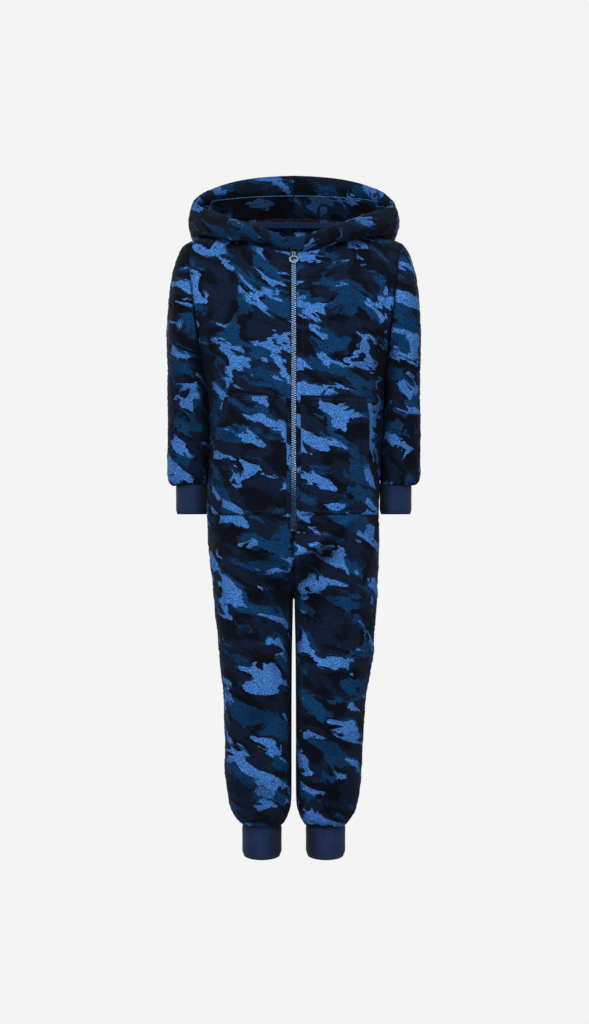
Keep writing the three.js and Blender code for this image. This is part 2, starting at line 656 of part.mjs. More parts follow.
// A cuff of rib knit: ribs stand out of a wall that is plain inside
function makeCuff(name, side, cuff) {
  const count = cuff.ribs * 2;
  const ring = (z, turn, proud, dip) => {
    const half = cuff.halfWidth + proud;
    const depth = cuff.halfDepth + proud;
    const drop = dip * (1 - Math.sin(turn)) / 2;
    return [side * (cuff.x + half * Math.cos(turn)), cuff.y + depth * Math.sin(turn), z - drop];
  };
  const turns = steps(0, 2 * Math.PI, count).slice(0, -1);
  const inside = steps(0, 2 * Math.PI, cuff.ribs).slice(0, -1);
  const levels = [[cuff.topZ, 0], [cuff.bottomZ, cuff.dip]];
  const positions = [];
  for (const [z, dip] of levels) {
    turns.forEach((turn, index) => positions.push(...ring(z, turn, index % 2 ? -CUFF_RIB : 0, dip)));
  }
  for (const [z, dip] of levels) {
    inside.forEach((turn) => positions.push(...ring(z, turn, -RIB_KNIT, dip)));
  }
  const innerStart = 2 * count;
  const faces = [];
  for (let index = 0; index < count; index += 1) {
    const next = (index + 1) % count;
    faces.push(index, count + index, count + next, index, count + next, next);
  }
  for (let rib = 0; rib < cuff.ribs; rib += 1) {
    const next = (rib + 1) % cuff.ribs;
    const top = [innerStart + rib, innerStart + next];
    const bottom = [innerStart + cuff.ribs + rib, innerStart + cuff.ribs + next];
    faces.push(top[0], bottom[1], bottom[0], top[0], top[1], bottom[1]);
    const crown = 2 * rib;
    const groove = crown + 1;
    const nextCrown = (crown + 2) % count;
    faces.push(crown, groove, top[0], groove, top[1], top[0], groove, nextCrown, top[1]);
    faces.push(count + crown, bottom[0], count + groove, count + groove, bottom[0], bottom[1]);
    faces.push(count + groove, bottom[1], count + nextCrown);
  }
  return mesh(`${name}_${sideName(side)}`, closedGeometry(positions, faces), material(COLOURS.ribKnit, 0.9));
}

// The front face of the cloth along the zip
function frontAt(z) {
  if (z < UNDERARM_Z) return bodyPoint(1, -1, z, angleAt(1, z, ZIP_EDGE_X)).y;
  const share = (z - UNDERARM_Z) / (ZIP_TOP_Z - UNDERARM_Z);
  let low = 0;
  let high = 1;
  let middle = share;
  for (let step = 0; step < 30; step += 1) {
    if (middleLine(1, -1, middle).z < z) low = middle;
    else high = middle;
    middle = (low + high) / 2;
  }
  return middleLine(1, -1, middle).y;
}

// A straight-sided strip that follows the front of the body between two heights
function frontStrip(leftX, rightX, topZ, bottomZ, depthFrom, depthTo) {
  const heights = steps(topZ, bottomZ, STRIP_STEPS);
  const line = (depth) => heights.map((z) => {
    const y = frontAt(z) + depth;
    return [leftX, rightX].map((x) => new THREE.Vector3(x, y, z));
  });
  return wallGeometry(line(depthFrom), line(depthTo), false);
}

function makeZip() {
  const top = SLIDER.z - SLIDER.inZip;
  const chainBack = CHAIN_SUNK + CHAIN_THICK;
  const chain = frontStrip(-CHAIN_WIDTH / 2, CHAIN_WIDTH / 2, top, ZIP_BOTTOM_Z, CHAIN_SUNK, chainBack);
  const tapeFrom = Math.max(chainBack, FLEECE) + SEAM_GAP + TAPE_BEHIND;
  const tapes = [-1, 1].map((side) => {
    const edges = [side * SEAM_GAP / 2, side * TAPE_WIDTH].sort((a, b) => a - b);
    const strip = frontStrip(edges[0], edges[1], top, ZIP_BOTTOM_Z - 2, tapeFrom, tapeFrom + TAPE);
    return mesh(`zip_tape_${sideName(side)}`, strip, material(COLOURS.tape, 0.9));
  });
  const steel = material(COLOURS.steel, 0.4, 0.8);
  return [mesh('zip_chain', chain, steel), ...tapes, makeSliderGroup(tapeFrom + TAPE)];
}

// The outline of a plate in the plane across the zip, drawn out sideways
function sidewaysPlate(points, width) {
  const shape = new THREE.Shape(points.map(([y, z]) => new THREE.Vector2(y, z)));
  const geometry = new THREE.ExtrudeGeometry(shape, { depth: width, bevelEnabled: false });
  geometry.translate(0, 0, -width / 2);
  geometry.applyMatrix4(new THREE.Matrix4().makeBasis(
    new THREE.Vector3(0, 1, 0), new THREE.Vector3(0, 0, 1), new THREE.Vector3(1, 0, 0),
  ));
  return geometry;
}

// Slider, bridge and pull, in a group whose origin is the pull's hinge and whose -Z runs down the zip
function makeSliderGroup(zipBack) {
  const group = new THREE.Group();
  const [high, below] = [SLIDER.z + 1, SLIDER.z - SLIDER.above];
  const tilt = Math.atan((frontAt(high) - frontAt(below)) / (below - high));
  const faceGap = SLIDER.clear;
  const plateFront = -(faceGap + SLIDER.plate);
  const hingeOut = BRIDGE.clear + BRIDGE.reach / 2;
  const clothY = -plateFront + hingeOut;
  const front = clothY - faceGap;
  const back = clothY + zipBack + faceGap;
  const top = SLIDER.above;
  const under = top - SLIDER.crown;
  const low = -SLIDER.below;
  const slider = sidewaysPlate([
    [front - SLIDER.plate, low], [front, low], [front, under], [back, under],
    [back, low], [back + SLIDER.backPlate, low], [back + SLIDER.backPlate, top], [front - SLIDER.plate, top],
  ], SLIDER.width);
  const plateY = front - SLIDER.plate - SEAM_GAP;
  const outer = BRIDGE.reach + BRIDGE.bar / 2;
  const inner = BRIDGE.reach - BRIDGE.bar / 2;
  const bridge = sidewaysPlate([
    [plateY, outer], [-outer, outer], [-outer, -outer], [plateY, -outer],
    [plateY, -inner], [-inner, -inner], [-inner, inner], [plateY, inner],
  ], BRIDGE.width);
  group.add(mesh('zip_slider', slider, material(COLOURS.gunmetal, 0.35, 0.9)));
  group.add(mesh('slider_bridge', bridge, material(COLOURS.gunmetal, 0.35, 0.9)));
  group.add(mesh('zip_pull', pullGeometry(), material(COLOURS.gunmetal, 0.35, 0.9)));
  group.position.set(0, frontAt(SLIDER.z) - clothY, SLIDER.z);
  group.rotation.x = tilt;
  return group;
}

// A flat drop with an eye round the bridge and a wide hole low down
function pullGeometry() {
  const low = PULL.eyeTop - PULL.length;
  const centre = low + PULL.halfWidth;
  const neck = -PULL.eyeHole - PULL.underEye;
  const shoulder = centre + PULL.shoulder;
  const shape = new THREE.Shape();
  shape.moveTo(-PULL.halfNeck, PULL.eyeTop);
  shape.lineTo(PULL.halfNeck, PULL.eyeTop);
  shape.lineTo(PULL.halfNeck, neck);
  shape.quadraticCurveTo(PULL.halfWidth, shoulder, PULL.halfWidth, centre);
  shape.absarc(0, centre, PULL.halfWidth, 0, -Math.PI, true);
  shape.quadraticCurveTo(-PULL.halfWidth, shoulder, -PULL.halfNeck, neck);
  const eye = new THREE.Path();
  const eyeHalf = BRIDGE.width / 2 + PULL.eyeClear;
  const eyeFrom = (PULL.thick + 0.2) / 2;
  eye.moveTo(-eyeHalf, -eyeFrom);
  eye.lineTo(-eyeHalf, -eyeFrom - PULL.eyeHole);
  eye.lineTo(eyeHalf, -eyeFrom - PULL.eyeHole);
  eye.lineTo(eyeHalf, -eyeFrom);
  const hole = new THREE.Path();
  hole.absellipse(0, centre, PULL.holeHalf, PULL.holeHalf * PULL.holeFlat, 0, 2 * Math.PI, false);
  shape.holes.push(eye, hole);
  const drawn = { depth: PULL.thick, bevelEnabled: false, curveSegments: 10 };
  const geometry = new THREE.ExtrudeGeometry(shape, drawn);
  geometry.translate(0, 0, -PULL.thick / 2);
  geometry.rotateX(Math.PI / 2);
  return geometry;
}

// A folded tab over the top end of the zip, narrower below
function makeChinGuard() {
  const { outline, thick, backY } = CHIN_GUARD;
  const shape = new THREE.Shape(outline.map(([x, z]) => new THREE.Vector2(x, z)));
  const geometry = new THREE.ExtrudeGeometry(shape, { depth: thick, bevelEnabled: false });
  geometry.rotateX(Math.PI / 2);
  geometry.translate(0, backY, 0);
  return mesh('chin_guard', geometry, material(COLOURS.teal, 0.9));
}

const onesie = new THREE.Group();
onesie.add(...makeBody());
onesie.add(...makeHood());
onesie.add(...[-1, 1].map(makePocket));
for (const side of [-1, 1]) {
  onesie.add(makeCuff('wrist_cuff', side, WRIST_CUFF), makeCuff('ankle_cuff', side, ANKLE_CUFF));
}
onesie.add(...makeZip());
onesie.add(makeChinGuard());

export default onesie;
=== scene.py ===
"""Child's hooded fleece onesie pajama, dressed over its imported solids.

The forms are worked out in millimetres with the same tables as the solids, then built in metres.
"""
import math

import bmesh
import bpy
import numpy as np
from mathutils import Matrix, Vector


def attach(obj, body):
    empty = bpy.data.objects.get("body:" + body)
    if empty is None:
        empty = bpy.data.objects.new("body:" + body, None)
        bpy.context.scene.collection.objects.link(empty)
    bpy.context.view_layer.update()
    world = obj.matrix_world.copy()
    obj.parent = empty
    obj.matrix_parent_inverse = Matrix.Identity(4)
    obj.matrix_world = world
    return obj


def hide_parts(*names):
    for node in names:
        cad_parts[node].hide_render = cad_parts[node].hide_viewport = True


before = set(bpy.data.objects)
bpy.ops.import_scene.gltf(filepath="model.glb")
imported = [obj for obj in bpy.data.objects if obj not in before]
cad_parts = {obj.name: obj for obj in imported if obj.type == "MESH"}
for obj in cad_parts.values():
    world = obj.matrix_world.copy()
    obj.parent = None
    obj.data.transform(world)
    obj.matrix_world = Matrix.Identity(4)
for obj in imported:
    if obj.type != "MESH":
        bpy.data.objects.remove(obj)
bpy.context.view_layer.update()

MM = 0.001


def table(columns, *rows):
    return [dict(zip(columns, row)) for row in rows]


# Cloth, in millimetres
FLEECE = 2.2
LINING = 1.8
SOLID_FLEECE = 2.6
LINING_DEPTH = -SOLID_FLEECE - 0.2 - LINING
SOLID_SEAM_GAP = 0.3
PILE_PROUD = 0.7
GRID_STEP = 2.0
HOOD_STEP = 2.3
POCKET_STEP = 1.8
NECK_TAPE_STEP = 1.6
ROUNDNESS = 2.4

SIDES = (-1, 1)

# Heights of the body
UNDERARM_Z = -150
ZIP_TOP_Z = -25
ZIP_BOTTOM_Z = -386
RISE_TOP_Z = -394
CROTCH_Z = -477
ANKLE_START_Z = -740
LEG_HEM_Z = -777

# Zip
CHAIN_SUNK = 0.5
CHAIN_THICK = 2.4
ZIP_EDGE_X = 3.6
SEAM_EDGE_X = 0.2
TAPE_WIDTH = 13
TAPE_THICK = 0.7
TAPE_BEHIND_CHAIN = 0.2
TOOTH_PITCH = 2.9
TEETH_BELOW_TOP = 5.5
TEETH_SUNK = 0.9
# Sections along a tooth: how far from the middle, half its height, how far it slants up
TOOTH_STATIONS = [
    (-2.9, 0.60, 0.6), (-2.6, 0.78, 0.5), (-0.9, 0.74, 0.0), (0.1, 0.48, -0.3), (0.45, 0.28, -0.4),
]
STITCHED_EDGE = 8.0
# Depths over which painted shade darkens the zip teeth and turns them bluer
ZIP_PAINTED_SHADE_FROM_TO = (300, 350)

# Neck and shoulders
NECK = {"half_width": 74, "front": 62, "back": 58, "front_z": ZIP_TOP_Z, "side_z": 12, "back_z": 20}
SHOULDER_POINT = np.array([140.5, 0, -4])
UNDERARM_POINT = np.array([124, 0, UNDERARM_Z])
ARMHOLE = {"front": 50, "back": 54, "roundness": 2.2}

# Where the random tufts of each kind of piece start
SEEDS = {"sleeve": 31, "hood": 61, "hood_lining": 70, "pocket": 83, "cuff": 97}

PRINT_MIDDLE_X = 60
PRINT_LEAN = 0.38
SLEEVE_PRINT_RADIUS = 33.0

CELLS = {"across": 10, "armhole": 9, "body": 9, "rise": 6, "leg": 10, "ankle": 4, "hood_across": 14}
HOOD_CELLS = [2, 3, 2, 3]

# Body sections: half width on each side, depth in front and behind, and where the inside of the leg is
BODY_SECTIONS = table(
    ["z", "right", "left", "front", "back", "inner"],
    [-150, 122.5, 124.5, 84, 80, 0.2],
    [-185, 116.5, 121.0, 86, 80, 0.2],
    [-215, 113.0, 119.2, 87, 79, 0.2],
    [-253, 110.5, 117.5, 88, 79, 0.2],
    [-306, 111.5, 114.2, 88, 82, 0.2],
    [-366, 114.0, 113.0, 86, 87, 0.2],
    [-408, 111.5, 112.8, 81, 91, 0.2],
    [-477, 105.5, 109.5, 73, 88, 0.3],
    [-547, 98.5, 105.0, 65, 76, 1.8],
    [-600, 93.5, 96.5, 60, 68, 2.2],
    [-660, 91.0, 91.5, 56, 60, 2.4],
    [-715, 89.5, 88.5, 53, 55, 2.4],
    [-750, 83.5, 83.5, 49, 51, 3.5],
    [-765, 76.5, 77.5, 42, 44, 9.0],
    [-777, 66.0, 67.0, 28, 28, 17.5],
)
SLEEVE_RINGS = table(
    ["clear", "inner_z", "outer_x", "outer_z", "middle_y", "front", "back"],
    [3.2, -153, 149.5, -15, 1, 51, 54],
    [4.8, -157, 158.0, -37, 2, 51, 53],
    [6.0, -163, 164.2, -68, 4, 50, 51],
    [6.4, -173, 167.4, -104, 7, 48, 49],
    [5.8, -188, 168.0, -146, 10, 46, 47],
    [4.6, -209, 167.5, -184, 13, 45, 45],
    [3.2, -238, 167.5, -226, 15, 43, 43],
    [2.2, -270, 168.0, -264, 16, 41, 41],
    [2.0, -300, 168.0, -298, 16, 39, 39],
    [2.4, -315, 167.5, -315, 15, 36, 36],
    [3.0, -322, 165.0, -322, 14, 32, 32],
    [3.6, -326, 158.5, -326, 13, 26, 26],
)
HOOD_SECTIONS = table(
    ["rim_x", "rim_y", "rim_z", "crest", "low_x", "low_y", "low_z", "belly_x", "belly_y", "belly_z"],
    [13, -67, -8, 3, 13, -65.5, -17, 13.5, -67, -12],
    [30, -64, 3, 4, 38, -64, -14, 38, -66, -5],
    [66, -42, 18, 5, 74, -52, -9, 78, -53, 3],
    [103, -17, 35, 5, 106, -27, 0, 118, -28, 13],
    [131, 10, 50, 5, 123, 8, 6, 139, 8, 26],
    [128, 42, 68, 8, 119, 50, -20, 138, 52, 14],
    [97, 80, 90, 11, 92, 80, -72, 112, 100, -22],
    [50, 100, 103, 13, 47, 92, -102, 60, 124, -40],
    [0, 106, 107, 14, 0, 94, -110, 0, 132, -44],
)

# Folds that the solids have too
FOLD_COLUMNS = ["from_x", "from_z", "to_x", "to_z", "width", "height"]
FRONT_FOLDS = table(
    FOLD_COLUMNS,
    [72, -380, 8, -418, 15, 4.5],
    [66, -398, 2, -442, 15, -5.5],
    [-70, -408, -20, -428, 14, -3.0],
    [-62, -436, -6, -462, 14, -3.5],
    [62, -470, 12, -486, 15, -3.5],
    [24, -500, 16, -640, 16, 3.0],
    [-20, -610, -74, -640, 18, -3.0],
    [22, -650, 76, -676, 18, -3.0],
    [-80, -712, -20, -738, 14, -3.5],
    [80, -716, 24, -744, 14, -3.5],
)
BACK_FOLDS = table(
    FOLD_COLUMNS,
    [-78, -425, -12, -462, 16, -4.5],
    [74, -432, 14, -458, 16, -4.0],
    [-66, -510, -14, -488, 15, -3.5],
    [70, -520, 18, -492, 15, -3.0],
    [-74, -604, -18, -622, 17, -4.0],
    [78, -598, 20, -618, 17, -3.5],
    [-22, -650, -72, -668, 16, -3.0],
    [-60, -320, 50, -332, 20, -3.0],
)
SLEEVE_FOLDS = table(
    FOLD_COLUMNS,
    [-166, -150, -126, -250, 13, -3.2],
    [-160, -292, -124, -304, 11, -2.4],
    [166, -176, 132, -214, 13, -2.8],
    [162, -286, 126, -300, 11, -2.4],
)

# Smaller creases, seen on the cloth alone, in the same columns
FRONT_CREASES = table(
    FOLD_COLUMNS,
    [84, -364, -2, -420, 6.0, 4.0],
    [80, -378, -2, -433, 5.0, -6.0],
    [60, -396, -2, -446, 11.0, -3.4],
    [30, -432, 0, -462, 7.0, -3.0],
    [-72, -408, -18, -432, 6.0, -3.0],
    [-66, -398, -14, -420, 7.0, 2.0],
    [-48, -440, -2, -470, 6.0, -3.2],
    [-24, -418, -2, -452, 5.0, -2.6],
    [-58, -470, -10, -480, 6.0, -1.4],
    [40, -466, 6, -476, 4.5, -1.8],
    [30, -486, 14, -560, 6.0, -1.6],
    [12, -520, 14, -620, 5.0, 1.4],
    [-16, -500, -22, -580, 7.0, -1.3],
    [-84, -540, -50, -556, 8.0, -1.2],
    [40, -580, 84, -566, 8.0, -1.2],
    [-70, -660, -30, -672, 8.0, -1.3],
    [34, -700, 78, -690, 8.0, -1.2],
    [-76, -742, -24, -756, 6.0, -1.8],
    [26, -756, 76, -744, 6.0, -1.8],
    [-100, -200, -62, -190, 8.0, -1.2],
    [104, -170, 66, -186, 8.0, -1.4],
    [-40, -120, -90, -88, 9.0, -1.2],
    [44, -120, 96, -84, 9.0, -1.2],
    [-104, -392, -60, -384, 6.0, -1.2],
    [104, -388, 64, -380, 6.0, -1.2],
)
BACK_CREASES = table(
    FOLD_COLUMNS,
    [-60, -436, -8, -464, 5.0, -1.8],
    [58, -440, 10, -460, 5.0, -1.8],
    [-48, -500, -10, -486, 5.0, -1.5],
    [46, -508, 14, -492, 5.0, -1.5],
    [-80, -350, 10, -362, 9.0, -1.6],
    [84, -338, 0, -350, 9.0, -1.4],
    [-84, -560, -40, -580, 8.0, -1.4],
    [84, -640, 34, -652, 8.0, -1.4],
    [-72, -742, -24, -754, 6.0, -1.8],
    [26, -754, 74, -742, 6.0, -1.8],
    [-96, -120, -50, -80, 9.0, -1.3],
    [96, -124, 54, -86, 9.0, -1.3],
    [-30, -250, 64, -262, 12.0, -1.3],
)
SLEEVE_CREASES = table(
    FOLD_COLUMNS,
    [-166, -146, -150, -230, 5.0, -2.0],
    [-150, -230, -126, -256, 5.0, -1.8],
    [-160, -200, -134, -214, 6.0, -1.3],
    [-162, -262, -130, -272, 6.0, -1.2],
    [-160, -306, -134, -312, 4.0, -1.2],
    [166, -172, 148, -200, 5.0, -1.8],
    [160, -232, 134, -244, 6.0, -1.3],
    [164, -262, 140, -278, 6.0, -1.2],
    [160, -304, 134, -312, 4.0, -1.2],
    [164, -100, 140, -112, 8.0, -1.2],
    [-164, -96, -138, -106, 8.0, -1.2],
)

FOLDS = {-1: FRONT_FOLDS, 1: BACK_FOLDS}
CREASES = {-1: FRONT_CREASES, 1: BACK_CREASES}

# How far the inside of a sleeve bulges towards the body, by the depth below the shoulder
SLEEVE_CLEAR = (
    [0, 144, 151, 157, 165, 175, 195, 240, 270, 300, 312, 330],
    [0.7, 0.9, 3.4, 5.2, 6.2, 6.4, 5.6, 3.8, 2.8, 2.4, 1.2, 0.5],
)

POCKET = {
    "top_z": -213, "bottom_z": -366, "zip_x": 9, "lift": 0.7, "mouth_lift": 7.5, "sewn_below": -312,
    "cells": 8, "hem": 13,
}
POCKET_EDGE = table(
    ["z", "right", "left"],
    [-213, 88, 92],
    [-238, 90, 92.5],
    [-296, 99, 93],
    [-322, 103.5, 103.5],
    [-366, 108, 108],
)

NECK_TAPE = {"width": 13, "depth": 6.6, "from_share": 0.75, "proud": 0.3, "thick": 0.9}
CHIN_GUARD = {
    "top": (-9.2, -7.6), "bottom": (-3.2, -23.9), "right_top": (16.2, -8.4), "right_low": (7.2, -23.9),
    "y": -68.9, "bulge": 2.2, "puff": 0.7, "stitched": 2.6, "thick": 1.2,
}

# Bars of thread at the lower end of the zip: from x, to x, z, height, how far they stand out
ZIP_END_BARS = [(-3.8, -0.6, -385.2, 1.8, 0.5), (3.6, 8.8, -388.0, 1.5, 0.7), (12.0, 15.2, -388.5, 1.5, 0.7)]

# The hem round the face of the hood
HOOD_HEM = {"width": 20, "stitches": 21.5, "pitch": 3.0, "thread": 0.95}
HOOD_LAYERS = table(
    [
        "part", "slot", "rests_on", "turned", "depth", "thick", "proud", "rim_roll", "groove", "puff",
        "hem_shade",
    ],
    ["hood", "fleece", "back", -1, 0.0, FLEECE, PILE_PROUD, 2.6, 0.8, 0.8, 0.3],
    ["hood_lining", "hood_lining", "hood", 1, LINING_DEPTH, LINING, 0.3, 1.6, 2.0, 3.6, 0.95],
)

WRIST_CUFF = {
    "x": 136.2, "y": 13, "half_width": 19.6, "half_depth": 24, "top_z": -320, "bottom_z": -364.5,
    "ribs": 68, "dip": 0, "tuck": 0.93, "sewn_to": ["sleeve"],
}
ANKLE_CUFF = {
    "x": 42.3, "y": 0, "half_width": 24.6, "half_depth": 27, "top_z": -770, "bottom_z": -815,
    "ribs": 80, "dip": 4, "tuck": 0.86, "sewn_to": ["front", "back"],
}
RIB_HIGH = 0.7
RIB_PITCH = 2.02
RIB_KNIT = 2.0

# Where each piece was cut from the printed cloth, in metres
PRINT_PLACE = {
    "front_right": (0.10, 0.30), "front_left": (1.37, 0.82), "back_right": (2.61, 0.15),
    "back_left": (3.24, 0.71), "sleeve_right": (4.15, 0.43), "sleeve_left": (5.32, 0.94),
    "hood_right": (6.11, 0.21), "hood_left": (7.42, 0.66), "hood_lining_right": (8.27, 0.37),
    "hood_lining_left": (9.53, 0.88), "pocket_right": (10.71, 0.12), "pocket_left": (11.16, 0.55),
}


# Curves and sections

def side_word(side):
    return "left" if side > 0 else "right"


def bell(distance, width):
    """1 where the distance is none, falling away smoothly over the width."""
    return np.exp(-((distance / width) ** 2))


def smooth_step(values, low, high):
    t = np.clip((values - low) / (high - low), 0, 1)
    return t * t * (3 - 2 * t)


def knots(points):
    """How far along a line of points each of them lies."""
    return np.concatenate([[0], np.cumsum(np.linalg.norm(np.diff(points, axis=0), axis=1))])


def between(rows, at, key, position):
    """Smooth value of a column of a table between its rows."""
    descending = rows[0][at] > rows[-1][at]
    right = len(rows) - 1
    for index, row in enumerate(rows):
        if (row[at] < position) if descending else (row[at] > position):
            right = index
            break
    right = max(right, 1)
    left = right - 1
    span = rows[right][at] - rows[left][at]
    t = min(max((position - rows[left][at]) / span, 0), 1)

    def slope(index):
        before = rows[max(index - 1, 0)]
        after = rows[min(index + 1, len(rows) - 1)]
        return (after[key] - before[key]) / (after[at] - before[at])

    t2, t3 = t * t, t * t * t
    return (
        (2 * t3 - 3 * t2 + 1) * rows[left][key] + (t3 - 2 * t2 + t) * span * slope(left)
        + (3 * t2 - 2 * t3) * rows[right][key] + (t3 - t2) * span * slope(right)
    )


def signed_power(value, power):
    return np.sign(value) * np.abs(value) ** power


def oval_point(angle, roundness):
    return signed_power(np.cos(angle), 2 / roundness), np.abs(np.sin(angle)) ** (2 / roundness)


def even_points(points_at, start, end, count):
    samples = points_at(np.linspace(start, end, 193))
    lengths = knots(samples)
    targets = np.linspace(0, lengths[-1], count + 1)
    return np.stack([np.interp(targets, lengths, samples[:, axis]) for axis in range(3)], axis=1)


def fold_height(folds, x, z):
    """Height of all the folds of a table at points of the front, back or sleeve."""
    height = np.zeros_like(np.asarray(x, dtype=float) + np.asarray(z, dtype=float))
    for fold in folds:
        along_x = fold["to_x"] - fold["from_x"]
        along_z = fold["to_z"] - fold["from_z"]
        length = math.hypot(along_x, along_z)
        along = ((x - fold["from_x"]) * along_x + (z - fold["from_z"]) * along_z) / length ** 2
        across = ((x - fold["from_x"]) * along_z - (z - fold["from_z"]) * along_x) / length
        fade = np.sin(np.pi * np.clip(along, 0, 1)).clip(0) ** 0.7
        height = height + fold["height"] * fade * bell(across, fold["width"])
    return height


def section_oval(side, z):
    """Centre and half width of a body section, which moves out into the leg below the rise."""
    outer = between(BODY_SECTIONS, "z", side_word(side), z)
    inner = between(BODY_SECTIONS, "z", "inner", z)
    if z >= RISE_TOP_Z:
        return 0, outer
    down = min((RISE_TOP_Z - z) / (RISE_TOP_Z - CROTCH_Z), 1)
    share = (1 - (1 - down ** 2) ** (ROUNDNESS / 2)) ** (1 / ROUNDNESS)
    centre = (inner + outer * share) / (1 + share)
    return centre, outer - centre


def body_point(side, face, z, angle):
    centre, half = section_oval(side, z)
    depth = between(BODY_SECTIONS, "z", "front" if face < 0 else "back", z)
    across, deep = oval_point(angle, ROUNDNESS)
    x = side * (centre + half * across)
    lift = fold_height(FOLDS[face], x, z) * np.minimum(1, deep / 0.35) ** 2
    outward_x, outward_y = side * across / half, face * deep / depth
    length = np.hypot(outward_x, outward_y)
    y = face * depth * deep + outward_y / length * lift
    return np.stack([x + outward_x / length * lift, y, z + 0 * x], axis=-1)


def angle_at(side, z, edge_x):
    centre, half = section_oval(side, z)
    across = min(max((edge_x - centre) / half, -1), 1)
    return math.acos(signed_power(across, ROUNDNESS / 2))


def inner_edge_x(face, z):
    if z < CROTCH_Z:
        return between(BODY_SECTIONS, "z", "inner", z)
    if face > 0 or z <= RISE_TOP_Z:
        return SEAM_EDGE_X
    if z >= ZIP_BOTTOM_Z:
        return ZIP_EDGE_X
    share = (z - ZIP_BOTTOM_Z) / (RISE_TOP_Z - ZIP_BOTTOM_Z)
    return ZIP_EDGE_X + (SEAM_EDGE_X - ZIP_EDGE_X) * share


def body_row(side, face, z, cells=CELLS["across"]):
    start = math.pi if z <= CROTCH_Z else angle_at(side, z, inner_edge_x(face, z))
    return even_points(lambda angles: body_point(side, face, z, angles), start, 0, cells)


def neckline_point(side, at):
    """The neckline from the middle of the front (0) to the shoulder (1) to the middle of the back (2)."""
    turn = at * math.pi / 2
    deep = math.cos(turn)
    depth = NECK["front"] if deep > 0 else NECK["back"]
    end_z = NECK["front_z"] if deep > 0 else NECK["back_z"]
    z = NECK["side_z"] + (end_z - NECK["side_z"]) * abs(deep) ** 1.4
    return np.array([side * NECK["half_width"] * max(math.sin(turn), 0) ** 0.9, -depth * deep, z])


def neckline_points(side, places):
    return np.array([neckline_point(side, at) for at in places])


def armhole_point(side, face, angle):
    along, deep = oval_point(angle, ARMHOLE["roundness"])
    point = (SHOULDER_POINT + UNDERARM_POINT) / 2 + (SHOULDER_POINT - UNDERARM_POINT) / 2 * along
    depth = ARMHOLE["front"] if face < 0 else ARMHOLE["back"]
    return np.array([side * point[0], face * deep * depth, point[2]])


def middle_line(side, face, share):
    """The middle of the chest or upper back, from the underarm level up to the neck."""
    edge = inner_edge_x(face, UNDERARM_Z)
    low = body_point(side, face, UNDERARM_Z, angle_at(side, UNDERARM_Z, edge))
    high = neckline_point(side, 0 if face < 0 else 2)
    high[0] = side * inner_edge_x(face, ZIP_TOP_Z)
    bulge = np.array([low[0], low[1] * (0.985 if face < 0 else 1.03), low[2] + 60])
    return (1 - share) ** 2 * low + 2 * share * (1 - share) * bulge + share ** 2 * high


def yoke_grid(side, face):
    """The upper part of a front or back, blended between its four edges."""
    half = CELLS["across"] // 2
    low = body_row(side, face, UNDERARM_Z)
    neck = even_points(lambda places: neckline_points(side, places), 0 if face < 0 else 2, 1, half)
    neck[0][0] = side * inner_edge_x(face, ZIP_TOP_Z)
    shoulder_end = armhole_point(side, face, 0)
    shoulder = [neck[half] + (shoulder_end - neck[half]) * share for share in np.linspace(0, 1, half + 1)]
    high = np.array([*neck, *shoulder[1:]])
    armhole = [armhole_point(side, face, angle) for angle in np.linspace(math.pi, 0, CELLS["armhole"] + 1)]
    rows = []
    for row, v in enumerate(np.linspace(0, 1, CELLS["armhole"] + 1)):
        u = np.linspace(0, 1, CELLS["across"] + 1)[:, None]
        middle = middle_line(side, face, v)
        points = low * (1 - v) + high * v + (1 - u) * middle + u * armhole[row]
        points = points - (1 - u) * (1 - v) * low[0] - u * (1 - v) * low[-1]
        rows.append(points - (1 - u) * v * high[0] - u * v * high[-1])
    return rows


def body_levels():
    turns = np.linspace(0, math.pi / 2, CELLS["rise"] + 1)
    return [
        *np.linspace(UNDERARM_Z, ZIP_BOTTOM_Z, CELLS["body"] + 1),
        *[RISE_TOP_Z + (CROTCH_Z - RISE_TOP_Z) * math.sin(turn) for turn in turns],
        *np.linspace(CROTCH_Z, ANKLE_START_Z, CELLS["leg"] + 1)[1:],
        *np.linspace(ANKLE_START_Z, LEG_HEM_Z, CELLS["ankle"] + 1)[1:],
    ]


def panel_grid(side, face):
    yoke = yoke_grid(side, face)[::-1]
    lower = [body_row(side, face, z) for z in body_levels()[1:]]
    underarm = side * BODY_SECTIONS[0][side_word(side)]
    lower[0][-1][0] += (side * UNDERARM_POINT[0] - underarm) / 2
    yoke[CELLS["armhole"]][-1] = armhole_point(side, face, math.pi)
    grid = np.array([*yoke, *lower])
    for _ in range(3):
        for row in range(2, CELLS["armhole"] + 5):
            for column in range(1, CELLS["across"]):
                around = grid[row - 1][column] + grid[row + 1][column]
                around = (around + grid[row][column - 1] + grid[row][column + 1]) / 4
                grid[row][column] += (around - grid[row][column]) * 0.4
    return grid


def sleeve_grid(side):
    """Rings from the armhole to the wrist, each from the seam inside, round the back, and back to it."""
    turns = np.linspace(math.pi, 0, CELLS["armhole"] + 1)
    around = [(1, angle) for angle in turns] + [(-1, angle) for angle in turns[::-1][1:]]
    rings = [[armhole_point(side, face, angle) for face, angle in around]]
    for ring in SLEEVE_RINGS:
        inner = np.array([section_oval(side, ring["inner_z"])[1] + ring["clear"], 0, ring["inner_z"]])
        outer = np.array([ring["outer_x"], 0, ring["outer_z"]])
        points = []
        for face, angle in around:
            along, deep = oval_point(angle, ARMHOLE["roundness"])
            point = (inner + outer) / 2 + (outer - inner) / 2 * along
            fold = fold_height(SLEEVE_FOLDS, side * point[0], point[2]) * deep
            depth = ring["front"] if face < 0 else ring["back"]
            points.append([side * point[0], ring["middle_y"] + face * (deep * depth + fold), point[2]])
        rings.append(points)
    return np.array(rings)


